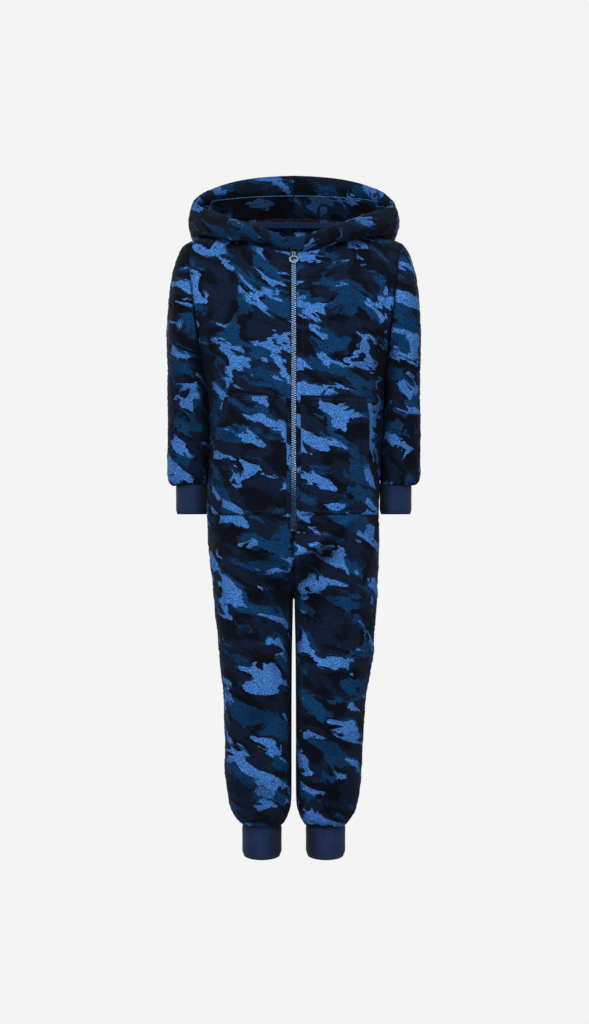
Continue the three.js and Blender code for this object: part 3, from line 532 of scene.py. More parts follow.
def through(points, t):
    """A point of a smooth curve through five points, their spacing taken from the square roots of gaps."""
    count = len(points) - 1
    index = min(int(t * count), count - 1)
    weight = t * count - index
    before = points[index - 1] if index > 0 else 2 * points[0] - points[1]
    after = points[index + 2] if index + 2 <= count else 2 * points[-1] - points[-2]
    p0, p1, p2, p3 = before, points[index], points[index + 1], after
    gaps = [max(float(np.dot(b - a, b - a)) ** 0.25, 1e-4) for a, b in ((p0, p1), (p1, p2), (p2, p3))]
    d0, d1, d2 = gaps
    t1 = ((p1 - p0) / d0 - (p2 - p0) / (d0 + d1) + (p2 - p1) / d1) * d1
    t2 = ((p2 - p1) / d1 - (p3 - p1) / (d1 + d2) + (p3 - p2) / d2) * d1
    w2, w3 = weight ** 2, weight ** 3
    return (
        p1 + t1 * weight + (-3 * p1 + 3 * p2 - 2 * t1 - t2) * w2 + (2 * p1 - 2 * p2 + t1 + t2) * w3
    )


def hood_grid(side):
    """From the front (first row) to the middle of the back, each row from the neck seam to the rim."""
    rows = [{**row, "at": index / (len(HOOD_SECTIONS) - 1)} for index, row in enumerate(HOOD_SECTIONS)]
    grid = []
    for across in np.linspace(0, 1, CELLS["hood_across"] + 1):
        value = {key: between(rows, "at", key, across) for key in HOOD_SECTIONS[0]}
        neck = neckline_point(side, across * 2)
        neck[0] = side * max(abs(neck[0]), value["rim_x"] * (1 - across * 8))
        neck[2] += 0.6
        if across == 1:
            neck[0] = 0
        low = np.array([side * value["low_x"], value["low_y"], value["low_z"]])
        crest = neck + (low - neck) * 0.28
        crest[2] = neck[2] + value["crest"]
        belly = np.array([side * value["belly_x"], value["belly_y"], value["belly_z"]])
        rim = np.array([side * value["rim_x"], value["rim_y"], value["rim_z"]])
        row = []
        for span, cells in enumerate(HOOD_CELLS):
            stretch = np.linspace(span / 4, (span + 1) / 4, cells + 1)[1 if span else 0:]
            row += [through([neck, crest, low, belly, rim], t) for t in stretch]
        grid.append(row)
    return np.array(grid)


def pocket_grid(side):
    rows = []
    for z in np.linspace(POCKET["top_z"], POCKET["bottom_z"], POCKET["cells"] + 3):
        start = angle_at(side, z, POCKET["zip_x"])
        end = angle_at(side, z, between(POCKET_EDGE, "z", side_word(side), z))
        rows.append(even_points(lambda angles: body_point(side, -1, z, angles), start, end, POCKET["cells"]))
    return np.array(rows)


def front_at(z):
    """The front face of the cloth along the zip."""
    if z < UNDERARM_Z:
        return body_point(1, -1, z, angle_at(1, z, ZIP_EDGE_X))[1]
    low, high = 0, 1
    for _ in range(30):
        middle = (low + high) / 2
        if middle_line(1, -1, middle)[2] < z:
            low = middle
        else:
            high = middle
    return middle_line(1, -1, (low + high) / 2)[1]


# Fine grids and their relief

def even_places(marks, step):
    """Places between the first and last mark, about a step apart, an odd number of them."""
    cells = 2 * max(round(marks[-1] / step / 2), 2)
    return np.linspace(0, marks[-1], cells + 1)


def spline_weights(marks, places, corner=None):
    """Weights that turn points at the marks into a smooth curve, with a sharp turn at a corner."""
    count = len(marks)
    gaps = np.diff(marks)

    def slope(index, cell):
        """Weights for the slope at a mark, seen from the cell on one side of it."""
        weights = np.zeros(count)
        if index in (0, count - 1, corner):
            weights[cell + 1] += 1 / gaps[cell]
            weights[cell] -= 1 / gaps[cell]
            return weights
        before, after = gaps[index - 1], gaps[index]
        weights[index + 1] += before / after / (before + after)
        weights[index] += (1 / before * after - 1 / after * before) / (before + after)
        weights[index - 1] -= after / before / (before + after)
        return weights

    weights = np.zeros((len(places), count))
    for row, place in enumerate(places):
        cell = min(max(int(np.searchsorted(marks, place, side="right")) - 1, 0), count - 2)
        t = (place - marks[cell]) / gaps[cell]
        t2, t3 = t * t, t * t * t
        weights[row, cell] += 2 * t3 - 3 * t2 + 1
        weights[row, cell + 1] += 3 * t2 - 2 * t3
        weights[row] += (t3 - 2 * t2 + t) * gaps[cell] * slope(cell, cell)
        weights[row] += (t3 - t2) * gaps[cell] * slope(cell + 1, cell)
    return weights


def refine(grid, step, corner_row=None, rows_used=None):
    """A fine grid through a coarse one. A corner row turns sharply at the last columns only."""
    rows, columns = grid.shape[:2]
    row_marks = knots(grid[:, columns // 2])
    column_marks = knots(grid[rows // 2])
    row_places = even_places(row_marks[:rows_used], step)
    column_places = even_places(column_marks, step)
    wide = np.einsum("cj,rjk->rck", spline_weights(column_marks, column_places), grid)
    fine = np.einsum("ri,ick->rck", spline_weights(row_marks, row_places), wide)
    if corner_row is not None:
        sharp = np.einsum("ri,ick->rck", spline_weights(row_marks, row_places, corner_row), wide)
        near_edge = np.clip((column_places - column_marks[-3]) / (column_marks[-1] - column_marks[-3]), 0, 1)
        fine = fine + (sharp - fine) * near_edge[None, :, None] ** 2
    return fine


def normals(points, outward):
    along = np.gradient(points, axis=0)
    across = np.gradient(points, axis=1)
    direction = np.cross(across, along) * outward
    return direction / np.maximum(np.linalg.norm(direction, axis=2, keepdims=True), 1e-9)


def lengths_along(points, axis):
    """How far each point of a grid lies from the start of its column (axis 0) or row (axis 1)."""
    lengths = np.cumsum(np.linalg.norm(np.diff(points, axis=axis), axis=2), axis=axis)
    return np.insert(lengths, 0, 0, axis=axis)


def cut_lengths(points):
    """How far each point lies across and along the cloth as it was cut, in millimetres."""
    down = lengths_along(points, 0)[:, points.shape[1] // 2]
    return lengths_along(points, 1), np.repeat(down[:, None], points.shape[1], axis=1)


def edge_distance(points):
    """How far each point is from each edge of the piece."""
    down, across = lengths_along(points, 0), lengths_along(points, 1)
    return {"top": down, "bottom": down[-1:] - down, "start": across, "end": across[:, -1:] - across}


def lattice_noise(u, v, seed):
    """Smooth random values from -1 to 1, one cell to a unit."""
    values = np.random.default_rng(seed).uniform(-1, 1, (256, 256))
    iu, iv = np.floor(u).astype(int), np.floor(v).astype(int)
    fu, fv = u - iu, v - iv
    fu, fv = fu * fu * (3 - 2 * fu), fv * fv * (3 - 2 * fv)
    a, b = values[iu % 256, iv % 256], values[(iu + 1) % 256, iv % 256]
    c, d = values[iu % 256, (iv + 1) % 256], values[(iu + 1) % 256, (iv + 1) % 256]
    return (a * (1 - fu) + b * fu) * (1 - fv) + (c * (1 - fu) + d * fu) * fv


def pile_relief(u, v, seed):
    """The uneven tufts of fleece, in millimetres."""
    tufts = lattice_noise(u / 4.6, v / 4.6, seed) * 0.6
    fine = lattice_noise(u / 2.3, v / 2.3, seed + 1) * 0.45
    loft = lattice_noise(u / 26, v / 26, seed + 2) * 1.0
    return tufts + fine + loft


# Meshes

def grid_faces(first, rows, columns):
    index = first + np.arange(rows * columns).reshape(rows, columns)
    faces = np.stack([index[:-1, :-1], index[1:, :-1], index[1:, 1:], index[:-1, 1:]], axis=-1)
    return faces.reshape(-1, 4).tolist()


def wall_faces(rows, columns, low_rows, low_columns):
    """Faces of a fine outer grid, a coarser inner one with every second point, and the edges between."""
    outer = np.arange(rows * columns).reshape(rows, columns)
    inner = rows * columns + np.arange(low_rows * low_columns).reshape(low_rows, low_columns)
    faces = grid_faces(0, rows, columns) + grid_faces(rows * columns, low_rows, low_columns)
    every = slice(None)
    for edge in ((0, every), (-1, every), (every, 0), (every, -1)):
        fine, coarse = outer[edge].tolist(), inner[edge].tolist()
        for cell in range(len(coarse) - 1):
            faces.append([*fine[2 * cell:2 * cell + 3], coarse[cell + 1], coarse[cell]])
    return faces


def make_mesh(name, points, faces, finish, cut=None, painted_shading=None):
    """cut gives each point its place on the cloth; the last argument is painted shade on its colour, above 0
    in seams and creases, and painted highlight below 0.
    """
    mesh = bpy.data.meshes.new(name)
    mesh.from_pydata((np.asarray(points) * MM).tolist(), [], faces)
    if painted_shading is not None:
        layer = mesh.attributes.new("painted_shading", "FLOAT", "POINT")
        layer.data.foreach_set("value", np.asarray(painted_shading, dtype=np.float32).ravel())
    if cut is not None:
        layer = mesh.uv_layers.new(name="cut")
        corners = np.zeros(len(mesh.loops), dtype=np.int32)
        mesh.loops.foreach_get("vertex_index", corners)
        layer.data.foreach_set("uv", np.asarray(cut, dtype=np.float32)[corners].ravel())
    mesh.materials.append(finish)
    built = bmesh.new()
    built.from_mesh(mesh)
    bmesh.ops.recalc_face_normals(built, faces=built.faces)
    built.to_mesh(mesh)
    built.free()
    mesh.polygons.foreach_set("use_smooth", [True] * len(mesh.polygons))
    piece = bpy.data.objects.new(name, mesh)
    bpy.context.scene.collection.objects.link(piece)
    return piece


def dress(piece, node=None):
    """The piece moves with the garment, and stands for its CAD node where it has one."""
    if node:
        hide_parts(node)
    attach(piece, "garment")


def cloth_area(points):
    diagonal = points[1:, 1:] - points[:-1, :-1]
    other = points[1:, :-1] - points[:-1, 1:]
    return float(np.linalg.norm(np.cross(diagonal, other), axis=2).sum() / 2) * MM * MM


def sheet(points, rests_on):
    """Works out the width, length and area of the cloth that shows from its grid, and keeps none of them."""
    width = np.linalg.norm(np.diff(points, axis=1), axis=2).sum(axis=1).max() * MM
    length = np.linalg.norm(np.diff(points, axis=0), axis=2).sum(axis=0).max() * MM
    area = min(cloth_area(points), width * length)


def cloth_wall(name, points, relief, thick, outward, slot, cut=None, painted_shading=None, finish=None):
    """A closed wall of cloth: the outer face is raised by its relief, the inner one lies plain."""
    facing = normals(points, outward)
    outer = points + facing * relief[:, :, None]
    inner = (points - facing * thick)[::2, ::2]
    faces = wall_faces(*points.shape[:2], *inner.shape[:2])
    if cut is None:
        cut = np.stack(cut_lengths(points), axis=2) * MM
    # Painted shading of the colour: above 0 is painted shade, below 0 is painted highlight
    deep = np.zeros(points.shape[:2]) if painted_shading is None else np.clip(painted_shading, -0.5, 1)
    all_points = np.concatenate([outer.reshape(-1, 3), inner.reshape(-1, 3)])
    all_cut = np.concatenate([cut.reshape(-1, 2), cut[::2, ::2].reshape(-1, 2)])
    all_painted_shading = np.concatenate([deep.ravel(), deep[::2, ::2].ravel()])
    piece = make_mesh(f"{name}_cloth", all_points, faces, FINISH[finish or slot], all_cut, all_painted_shading)
    dress(piece, name)
    OUTER_FACE[name] = outer
    return piece


class Tubes:
    """Many small closed tubes that make one piece."""

    def __init__(self):
        self.points = []
        self.faces = []

    def add(self, rings):
        """One tube through rings of points, closed at both ends."""
        corners = len(rings[0])
        first = len(self.points)
        last = first + (len(rings) - 1) * corners
        self.points += [point for ring in rings for point in ring]
        for start in range(first, last, corners):
            for corner in range(corners):
                a, b = start + corner, start + (corner + 1) % corners
                self.faces.append([a, b, b + corners, a + corners])
        self.faces.append([*range(first, first + corners)][::-1])
        self.faces.append([*range(last, last + corners)])

    def sewn(self, name, finish, slot):
        """Thread lies on the cloth, so it stands for no CAD node."""
        piece = make_mesh(name, self.points, self.faces, FINISH[finish], np.zeros((len(self.points), 2)))
        dress(piece)


# Materials

class Tone:
    """A value in a material. Sums and products of tones add Math nodes."""

    def __init__(self, looks, socket):
        self.looks = looks
        self.socket = socket

    def math(self, operation, first, second, clamp=False):
        node = self.looks.tree.nodes.new("ShaderNodeMath")
        node.operation = operation
        node.use_clamp = clamp
        self.looks.feed(node.inputs[0], first)
        self.looks.feed(node.inputs[1], second)
        return Tone(self.looks, node.outputs[0])

    def __add__(self, other):
        return self.math("ADD", self, other)

    def __radd__(self, other):
        return self.math("ADD", other, self)

    def __sub__(self, other):
        return self.math("SUBTRACT", self, other)

    def __rsub__(self, other):
        return self.math("SUBTRACT", other, self)

    def __mul__(self, other):
        return self.math("MULTIPLY", self, other)

    def steep(self, low, high):
        """0 below low, 1 above high, and straight between them."""
        return self.math("MULTIPLY", self - low, 1 / (high - low), clamp=True)


class Looks:
    """One material, its nodes, and the few ways that this scene joins them."""

    def __init__(self, name, roughness, metallic=0.0, sheen=0.0, sheen_tint=(1, 1, 1, 1), specular=0.5):
        self.material = bpy.data.materials.new(name)
        self.material.use_nodes = True
        self.tree = self.material.node_tree
        self.shader = self.tree.nodes["Principled BSDF"]
        self.shader.inputs["Roughness"].default_value = roughness
        self.shader.inputs["Metallic"].default_value = metallic
        self.shader.inputs["Sheen Weight"].default_value = sheen
        self.shader.inputs["Sheen Roughness"].default_value = 0.5
        self.shader.inputs["Sheen Tint"].default_value = sheen_tint
        self.shader.inputs["Specular IOR Level"].default_value = specular

    def feed(self, socket, value):
        if isinstance(value, Tone):
            self.tree.links.new(value.socket, socket)
        else:
            socket.default_value = value

    def node(self, kind, settings=None, sockets=None, output=0):
        """Any other node: its settings are made first, then its sockets get values or links."""
        node = self.tree.nodes.new(kind)
        for name, value in (settings or {}).items():
            setattr(node, name, value)
        for name, value in (sockets or {}).items():
            named = [socket for socket in node.inputs if name in (socket.identifier, socket.name)]
            self.feed(named[0] if isinstance(name, str) else node.inputs[name], value)
        return Tone(self, node.outputs[output])

    def cut(self):
        return self.node("ShaderNodeUVMap", {"uv_map": "cut"})

    # The painted shade and painted highlight kept on each point of a piece
    def painted_shading(self):
        return self.node("ShaderNodeAttribute", {"attribute_name": "painted_shading"}, None, 2)

    def stretched(self, vector, by):
        return self.node("ShaderNodeVectorMath", {"operation": "MULTIPLY"}, {0: vector, 1: by})

    def shifted(self, vector, by):
        return self.node("ShaderNodeVectorMath", {"operation": "ADD"}, {0: vector, 1: by})

    def noise(self, vector, scale, detail=2.0, roughness=0.5, output=0):
        return self.node(
            "ShaderNodeTexNoise", {"noise_dimensions": "2D"},
            {"Vector": vector, "Scale": scale, "Detail": detail, "Roughness": roughness}, output,
        )

    def warped(self, vector, scale, reach, detail=2.0):
        """The same place moved about by noise, up to reach each way."""
        centred = self.shifted(self.noise(vector, scale, detail, 0.5, 1), (-0.5, -0.5, -0.5))
        return self.shifted(vector, self.stretched(centred, reach))

    def mix(self, factor, first, second):
        node = self.tree.nodes.new("ShaderNodeMix")
        node.data_type = "RGBA"
        given = {"Factor_Float": factor, "A_Color": first, "B_Color": second}
        for socket in node.inputs:
            if socket.identifier in given:
                self.feed(socket, given[socket.identifier])
        return Tone(self, next(s for s in node.outputs if s.identifier == "Result_Color"))

    def shade(self, colour, amount):
        """A colour made lighter or darker by an amount round 1."""
        start = colour if isinstance(colour, Tone) else colour[:3]
        return self.node("ShaderNodeVectorMath", {"operation": "SCALE"}, {0: start, "Scale": amount})

    def bump(self, height, distance, strength=1.0, under=None):
        sockets = {"Height": height, "Distance": distance, "Strength": strength}
        if under is not None:
            sockets["Normal"] = under
        return self.node("ShaderNodeBump", None, sockets)

    def finish(self, colour, normal=None, roughness=None):
        self.feed(self.shader.inputs["Base Color"], colour)
        if normal is not None:
            self.feed(self.shader.inputs["Normal"], normal)
        if roughness is not None:
            self.feed(self.shader.inputs["Roughness"], roughness)
        return self.material


def colour(code, lighter=1.0):
    """A linear colour from a six-figure colour code."""
    parts = [int(code[index:index + 2], 16) / 255 for index in (0, 2, 4)]
    linear = [p / 12.92 if p <= 0.04045 else ((p + 0.055) / 1.055) ** 2.4 for p in parts]
    return (*[value * lighter for value in linear], 1.0)


# The studio light is bright, so the colours of cloth are given as they are seen and divided by it
STUDIO_GAIN = 5.0


def seen(code):
    return colour(code, 1 / STUDIO_GAIN)


NIGHT = seen("0a1120")
NAVY = seen("152541")
TEAL = seen("10497c")
BLUE = seen("2069e8")
PALE_BLUE = seen("70baff")


def camouflage(looks, place, fuzz):
    """Ragged islands in two blues on near-black navy, drawn out down to the right."""
    leaning = looks.node(
        "ShaderNodeVectorRotate", {"rotation_type": "Z_AXIS"}, {"Vector": place, "Angle": PRINT_LEAN},
    )
    flat = looks.stretched(leaning, (1.0, 1.9, 1.0))
    drawn = looks.warped(flat, 13.0, (0.040, 0.055, 0.0), 1.0)
    tailed = looks.warped(drawn, 46.0, (0.066, 0.019, 0.0), 2.0)
    ragged = looks.shifted(looks.warped(tailed, 170.0, (0.008, 0.006, 0.0), 2.0), fuzz)
    bright = looks.noise(ragged, 21.0, 1.0, 0.45)
    dim_place = looks.shifted(ragged, (0.013, 0.37, 0.0))
    dim = looks.noise(dim_place, 19.0, 1.2, 0.45) + (bright - 0.5) * 0.35
    night = looks.noise(looks.shifted(drawn, (0.71, 0.13, 0.0)), 26.0, 1.5, 0.5)
    ground = looks.mix(night.steep(0.46, 0.56), NAVY, NIGHT)
    ground = looks.mix(dim.steep(0.530, 0.590), ground, TEAL)
    return ground, bright.steep(0.606, 0.628)


def fleece_looks(name, islands=1.0, light=1.0):
    looks = Looks(name, roughness=0.95, sheen=0.01, sheen_tint=colour("8fb4e8"), specular=0.04)
    place = looks.cut()
    tufts = looks.noise(place, 440.0, 2.0, 0.6)
    ground, island = camouflage(looks, place, (tufts - 0.5) * 0.005)
    strands = looks.noise(looks.stretched(place, (1.0, 0.7, 1.0)), 850.0, 2.0, 0.6)
    worn = looks.noise(place, 95.0, 2.0, 0.55)
    blue = looks.mix(strands.steep(0.30, 0.72), BLUE, PALE_BLUE)
    base = looks.mix(island * islands, ground, blue)
    pile = 0.28 + tufts.steep(0.32, 0.68) * 0.8 + strands.steep(0.35, 0.65) * 0.4
    pile = pile + worn.steep(0.3, 0.7) * 0.25
    low = looks.bump(tufts, 0.0016, 0.8)
    # Painted shade from each point darkens the pile and painted highlight lightens it; light below 1 paints
    # the whole piece darker, as painted shade
    shade = pile * (light - looks.painted_shading() * (0.85 * light))
    return looks.finish(looks.shade(base, shade), looks.bump(strands, 0.0006, 0.5, low))


def jersey_looks(name, code, rough=0.88, clouds=0.2):
    looks = Looks(name, roughness=rough, sheen=0.01, specular=0.04)
    place = looks.cut()
    knit = looks.noise(looks.stretched(place, (1.0, 0.45, 1.0)), 1600.0, 1.0, 0.5)
    cloudy = looks.noise(place, 120.0, 2.0, 0.5)
    shade = 0.75 + knit.steep(0.3, 0.7) * 0.35 + cloudy.steep(0.3, 0.7) * clouds
    return looks.finish(looks.shade(seen(code), shade), looks.bump(knit, 0.0004, 0.6))


def rib_looks(name):
    looks = Looks(name, roughness=0.9, sheen=0.02, specular=0.08)
    place = looks.cut()
    turn = looks.node("ShaderNodeSeparateXYZ", None, {0: place}) * (2 * math.pi / (RIB_PITCH * MM))
    painted_rib_shading = looks.node("ShaderNodeMath", {"operation": "COSINE"}, {0: turn})
    stitches = looks.node(
        "ShaderNodeTexWave", {"wave_type": "BANDS", "bands_direction": "Y"},
        {"Vector": place, "Scale": 190.0, "Distortion": 2.0, "Detail": 1.0, "Detail Scale": 3.0},
    )
    cloudy = looks.noise(place, 70.0, 3.0, 0.6)
    # Painted shade in the grooves between the ribs and painted highlight on their crowns, with the knit
    # stitches and cloudy tone; painted shade from each point darkens it further
    ribs_painted_shading_and_knit = 0.25 + painted_rib_shading.steep(-0.7, 0.7) * 1.0 + stitches * 0.15 + cloudy.steep(0.3, 0.7) * 0.4
    shade = ribs_painted_shading_and_knit * (1.0 - looks.painted_shading() * 0.8)
    return looks.finish(looks.shade(seen("203a68"), shade), looks.bump(stitches, 0.0003, 0.5))


def metal_looks(name, code, roughness, painted_shade_tint=None):
    """The last argument gives the colour that the metal turns to where painted shade darkens it, as at the
    lower end of the zip.
    """
    looks = Looks(name, roughness=roughness, metallic=1.0)
    place = looks.node("ShaderNodeTexCoord", None, None, 3)
    scuffs = looks.node(
        "ShaderNodeTexNoise", None, {"Vector": place, "Scale": 900.0, "Detail": 3.0, "Roughness": 0.6},
    )
    # Painted shade from each point darkens the metal and turns it towards the shaded colour
    shade = (0.8 + scuffs.steep(0.3, 0.7) * 0.35) * (1.0 - looks.painted_shading() * 0.8)
    base = looks.mix(looks.painted_shading(), colour(code), colour(painted_shade_tint or code))
    return looks.finish(
        looks.shade(base, shade), looks.bump(scuffs, 0.0001, 0.4),
        roughness - 0.08 + scuffs.steep(0.3, 0.7) * 0.16,
    )


def tape_looks(name):
    looks = Looks(name, roughness=0.85, specular=0.25)
    place = looks.cut()
    weave = looks.node(
        "ShaderNodeTexWave", {"wave_type": "BANDS", "bands_direction": "DIAGONAL"},
        {"Vector": place, "Scale": 260.0, "Distortion": 0.6},
    )
    # Painted shade from each point darkens the weave
    shade = (0.7 + weave * 0.5) * (1.0 - looks.painted_shading() * 0.9)
    return looks.finish(looks.shade(seen("16325a"), shade), looks.bump(weave, 0.0002, 0.6))


FINISH = {
    "fleece": fleece_looks("fleece"),
    # The lining is the fleece painted darker: painted shade inside the hood
    "hood_lining": fleece_looks("hood_lining", 0.85, 0.8),
    "teal_jersey": jersey_looks("teal_jersey", "0a3054", 0.88, 0.6),
    # A darker copy of the teal jersey for the neck tape: painted shade
    "teal_jersey_painted_shade": jersey_looks("teal_jersey_painted_shade", "07264f"),
    "rib_knit": rib_looks("rib_knit"),
    "zip_tape": tape_looks("zip_tape"),
    "zip_metal": metal_looks("zip_metal", "6c87a3", 0.50, "4a78ae"),
    "pull_metal": metal_looks("pull_metal", "4b515f", 0.40),
    # Near-black: painted shadow of the chin guard on the slider and its bridge
    "slider_metal_painted_shadow": metal_looks("slider_metal_painted_shadow", "15181d", 0.45),
    "thread": jersey_looks("thread", "234f86", 0.7),
    "tack": jersey_looks("tack", "6d93c8", 0.7),
    # Hem thread, lighter than the other thread: partly a thread colour and partly a painted highlight where
    # the edge of the hem catches the light
    "hem_thread_and_highlight": jersey_looks("hem_thread_and_highlight", "4a7fc4", 0.7),
}


# Pieces

# The outer face of each cloth, for the stitches that lie on it
OUTER_FACE = {}


def printed(name, across, down, rightwards):
    """Places on the printed cloth, whose width runs to the right as the piece is seen from outside."""
    place = np.array(PRINT_PLACE[name])
    return np.stack([across * rightwards, -down], axis=2) * MM + place


def seam_roll(distance, depth=2.0, width=2.2):
    """Cloth turns in along a seam."""
    return -depth * bell(distance, width)


def seam_shade(distances, width=2.4, deep=0.85):
    """Painted shade along seams, where the parted pile lets little light out."""
    return deep * np.max([bell(distance, width) for distance in distances], axis=0)


def gather(points, distance, depth, seed, reach=16.0, pitch=7.5):
    """Small upright gathers where wide fleece is sewn to a narrow cuff."""
    turn = np.arctan2(points[:, :, 1], points[:, :, 0] - points[:, :, 0].mean(axis=1, keepdims=True))
    place = turn * 170 / math.pi / pitch
    waves = lattice_noise(place * 2, distance / 30, seed)
    return waves * depth * bell(distance, reach)


def panel_relief(name, face, points, across, down, edges):
    x, z = points[:, :, 0], points[:, :, 2]
    creases = fold_height(CREASES[face], x, z)
    seed = sum(map(ord, name))
    relief = PILE_PROUD + pile_relief(across, down, seed) + creases
    facing = np.abs(normals(points, 1)[:, :, 1])
    for distance in (edges["top"], edges["end"]):
        relief += seam_roll(distance)
    relief += seam_roll(edges["start"]) * facing ** 2
    relief += seam_roll(edges["bottom"], 1.6, 2.0) + gather(points, edges["bottom"], 1.5, seed + 5)
    # The insides of the legs and of the rise stay plain, so that they keep clear of each other
    legs = np.clip((RISE_TOP_Z - z) / 20, 0, 1)
    near_middle = bell(np.abs(x), 9) * legs * (1 - facing ** 2)
    return relief * (1 - near_middle) - 0.5 * near_middle


def panel_painted_shading(face, points, edges):
    """Painted shade in the seams and creases of a panel, on its side behind the sleeve and at the inside of
    the legs, and painted highlight on its ridges.
    """
    x, z = points[:, :, 0], points[:, :, 2]
    creases = fold_height(CREASES[face], x, z)
    folds = fold_height(FOLDS[face], x, z)
    facing = np.abs(normals(points, 1)[:, :, 1])
    sewn = (z < ZIP_BOTTOM_Z) | (face > 0)
    seams = seam_shade([edges["top"], edges["bottom"], edges["start"] + np.where(sewn, 0, 9)])
    sides = seam_shade([edges["end"]], 2.0, 0.6)
    painted_trough_shade = np.clip(-creases / 6, 0, 0.8) + np.clip(-folds / 6, 0, 0.75)
    painted_ridge_highlight = np.clip(creases / 5, 0, 0.5) + np.clip(folds / 9, 0, 0.35)
    beside_arm = smooth_step(z, -330, -300) * (1 - smooth_step(z, -150, -110))
    painted_shade_behind_sleeve = smooth_step(np.abs(x), 96, 110) * beside_arm
    painted_inseam_shade = smooth_step(-np.abs(x), -13, -3) * smooth_step(-z, 420, 470) * (1 - facing)
    dark = np.max([seams, sides, painted_trough_shade, 0.7 * painted_shade_behind_sleeve, 0.8 * painted_inseam_shade], axis=0)
    return dark - painted_ridge_highlight * (1 - np.clip(dark, 0, 1))


def zip_side_relief(relief, across, z, side):
    """Flattens the cloth where it is stitched down beside the zip."""
    in_zip = (z > ZIP_BOTTOM_Z) * 1.0
    if side > 0:
        band = np.clip((STITCHED_EDGE + 0.8 - across) / 1.2, 0, 1) * in_zip
        flat = -0.5 + relief * 0.35
        groove = -0.9 * bell(across - STITCHED_EDGE, 1.1) * in_zip
    else:
        band = bell(across - 2.6, 1.3) * in_zip * 0.8
        flat = relief - 0.9
        groove = 0
    return relief + (flat - relief) * band + groove


def fine_levels():
    """Heights of the fine rows below the zip, closer where the legs part."""
    turns = np.linspace(0, math.pi / 2, 49)[1:]
    return [
        *np.linspace(ZIP_BOTTOM_Z, RISE_TOP_Z, 5)[1:],
        *(RISE_TOP_Z + (CROTCH_Z - RISE_TOP_Z) * np.sin(turns)),
        *np.linspace(CROTCH_Z, ANKLE_START_Z, 133)[1:],
        *np.linspace(ANKLE_START_Z, LEG_HEM_Z, 23)[1:],
    ]


def panel_points(side, face):
    """The fine grid: a smooth one through the coarse points down to the zip's end, exact rows below."""
    rows_above = CELLS["armhole"] + CELLS["body"] + 1
    upper = refine(panel_grid(side, face), GRID_STEP, CELLS["armhole"], rows_above)
    cells = upper.shape[1] - 1
    return np.array([*upper, *[body_row(side, face, z, cells) for z in fine_levels()]])


def print_lengths(points):
    """Lengths from a line down the middle of the panel, so that the print runs straight on it."""
    across = lengths_along(points, 1)
    distance = np.abs(points[:, :, 0])
    middle = [np.interp(PRINT_MIDDLE_X, np.maximum.accumulate(row), np.arange(len(row))) for row in distance]
    columns = np.arange(points.shape[1])
    line = [[np.interp(m, columns, row[:, axis]) for axis in (1, 2)] for m, row in zip(middle, points)]
    start = np.array([np.interp(m, columns, row) for m, row in zip(middle, across)])
    down = knots(np.array(line))
    return across - start[:, None] + PRINT_MIDDLE_X, np.repeat(down[:, None], points.shape[1], axis=1)


def make_panel(side, face):
    part, other = ("front", "back") if face < 0 else ("back", "front")
    name = f"{part}_{side_word(side)}"
    points = panel_points(side, face)
    across, down = cut_lengths(points)
    edges = edge_distance(points)
    relief = panel_relief(name, face, points, across, down, edges)
    if face < 0:
        relief = zip_side_relief(relief, across, points[:, :, 2], side)
    cut = printed(name, *print_lengths(points), -side * face)
    shut = meet_in_middle(points, across, side, face)
    painted_shading = panel_painted_shading(face, points, edges)
    piece = cloth_wall(name, shut, relief, FLEECE, side * face, "fleece", cut, painted_shading)
    sheet(points, [f"{other}_{side_word(side)}"])


def meet_in_middle(points, across, side, face):
    """Brings the two halves together along the middle seam, so that no light shows through it."""
    z = points[:, :, 2]
    top = ZIP_BOTTOM_Z if face < 0 else NECK["back_z"] + 5
    sewn = np.clip((top - z) / 8, 0, 1) * np.clip((z - CROTCH_Z + 1) / 2, 0, 1)
    moved = points.copy()
    shift = 0.5 + 0.9 * np.clip((-440 - z) / 20, 0, 1)
    moved[:, :, 0] -= side * shift * sewn * bell(across, 2.5)
    return moved


def sleeve_lengths(points, side):
    """Lengths round and along the arm: the print stays level although the rings near the armhole tilt."""
    middle = points.shape[1] // 2
    outer_line = points[:, middle]
    lengths = knots(outer_line)
    down = np.interp(-points[:, :, 2], -outer_line[:, 2], lengths)
    outer_x = np.interp(-points[:, :, 2], -outer_line[:, 2], np.abs(outer_line[:, 0]))
    centre_x = outer_x - SLEEVE_PRINT_RADIUS
    turn = np.arctan2(points[:, :, 1] - 10, side * points[:, :, 0] - centre_x)
    return turn * (SLEEVE_PRINT_RADIUS + 8), down


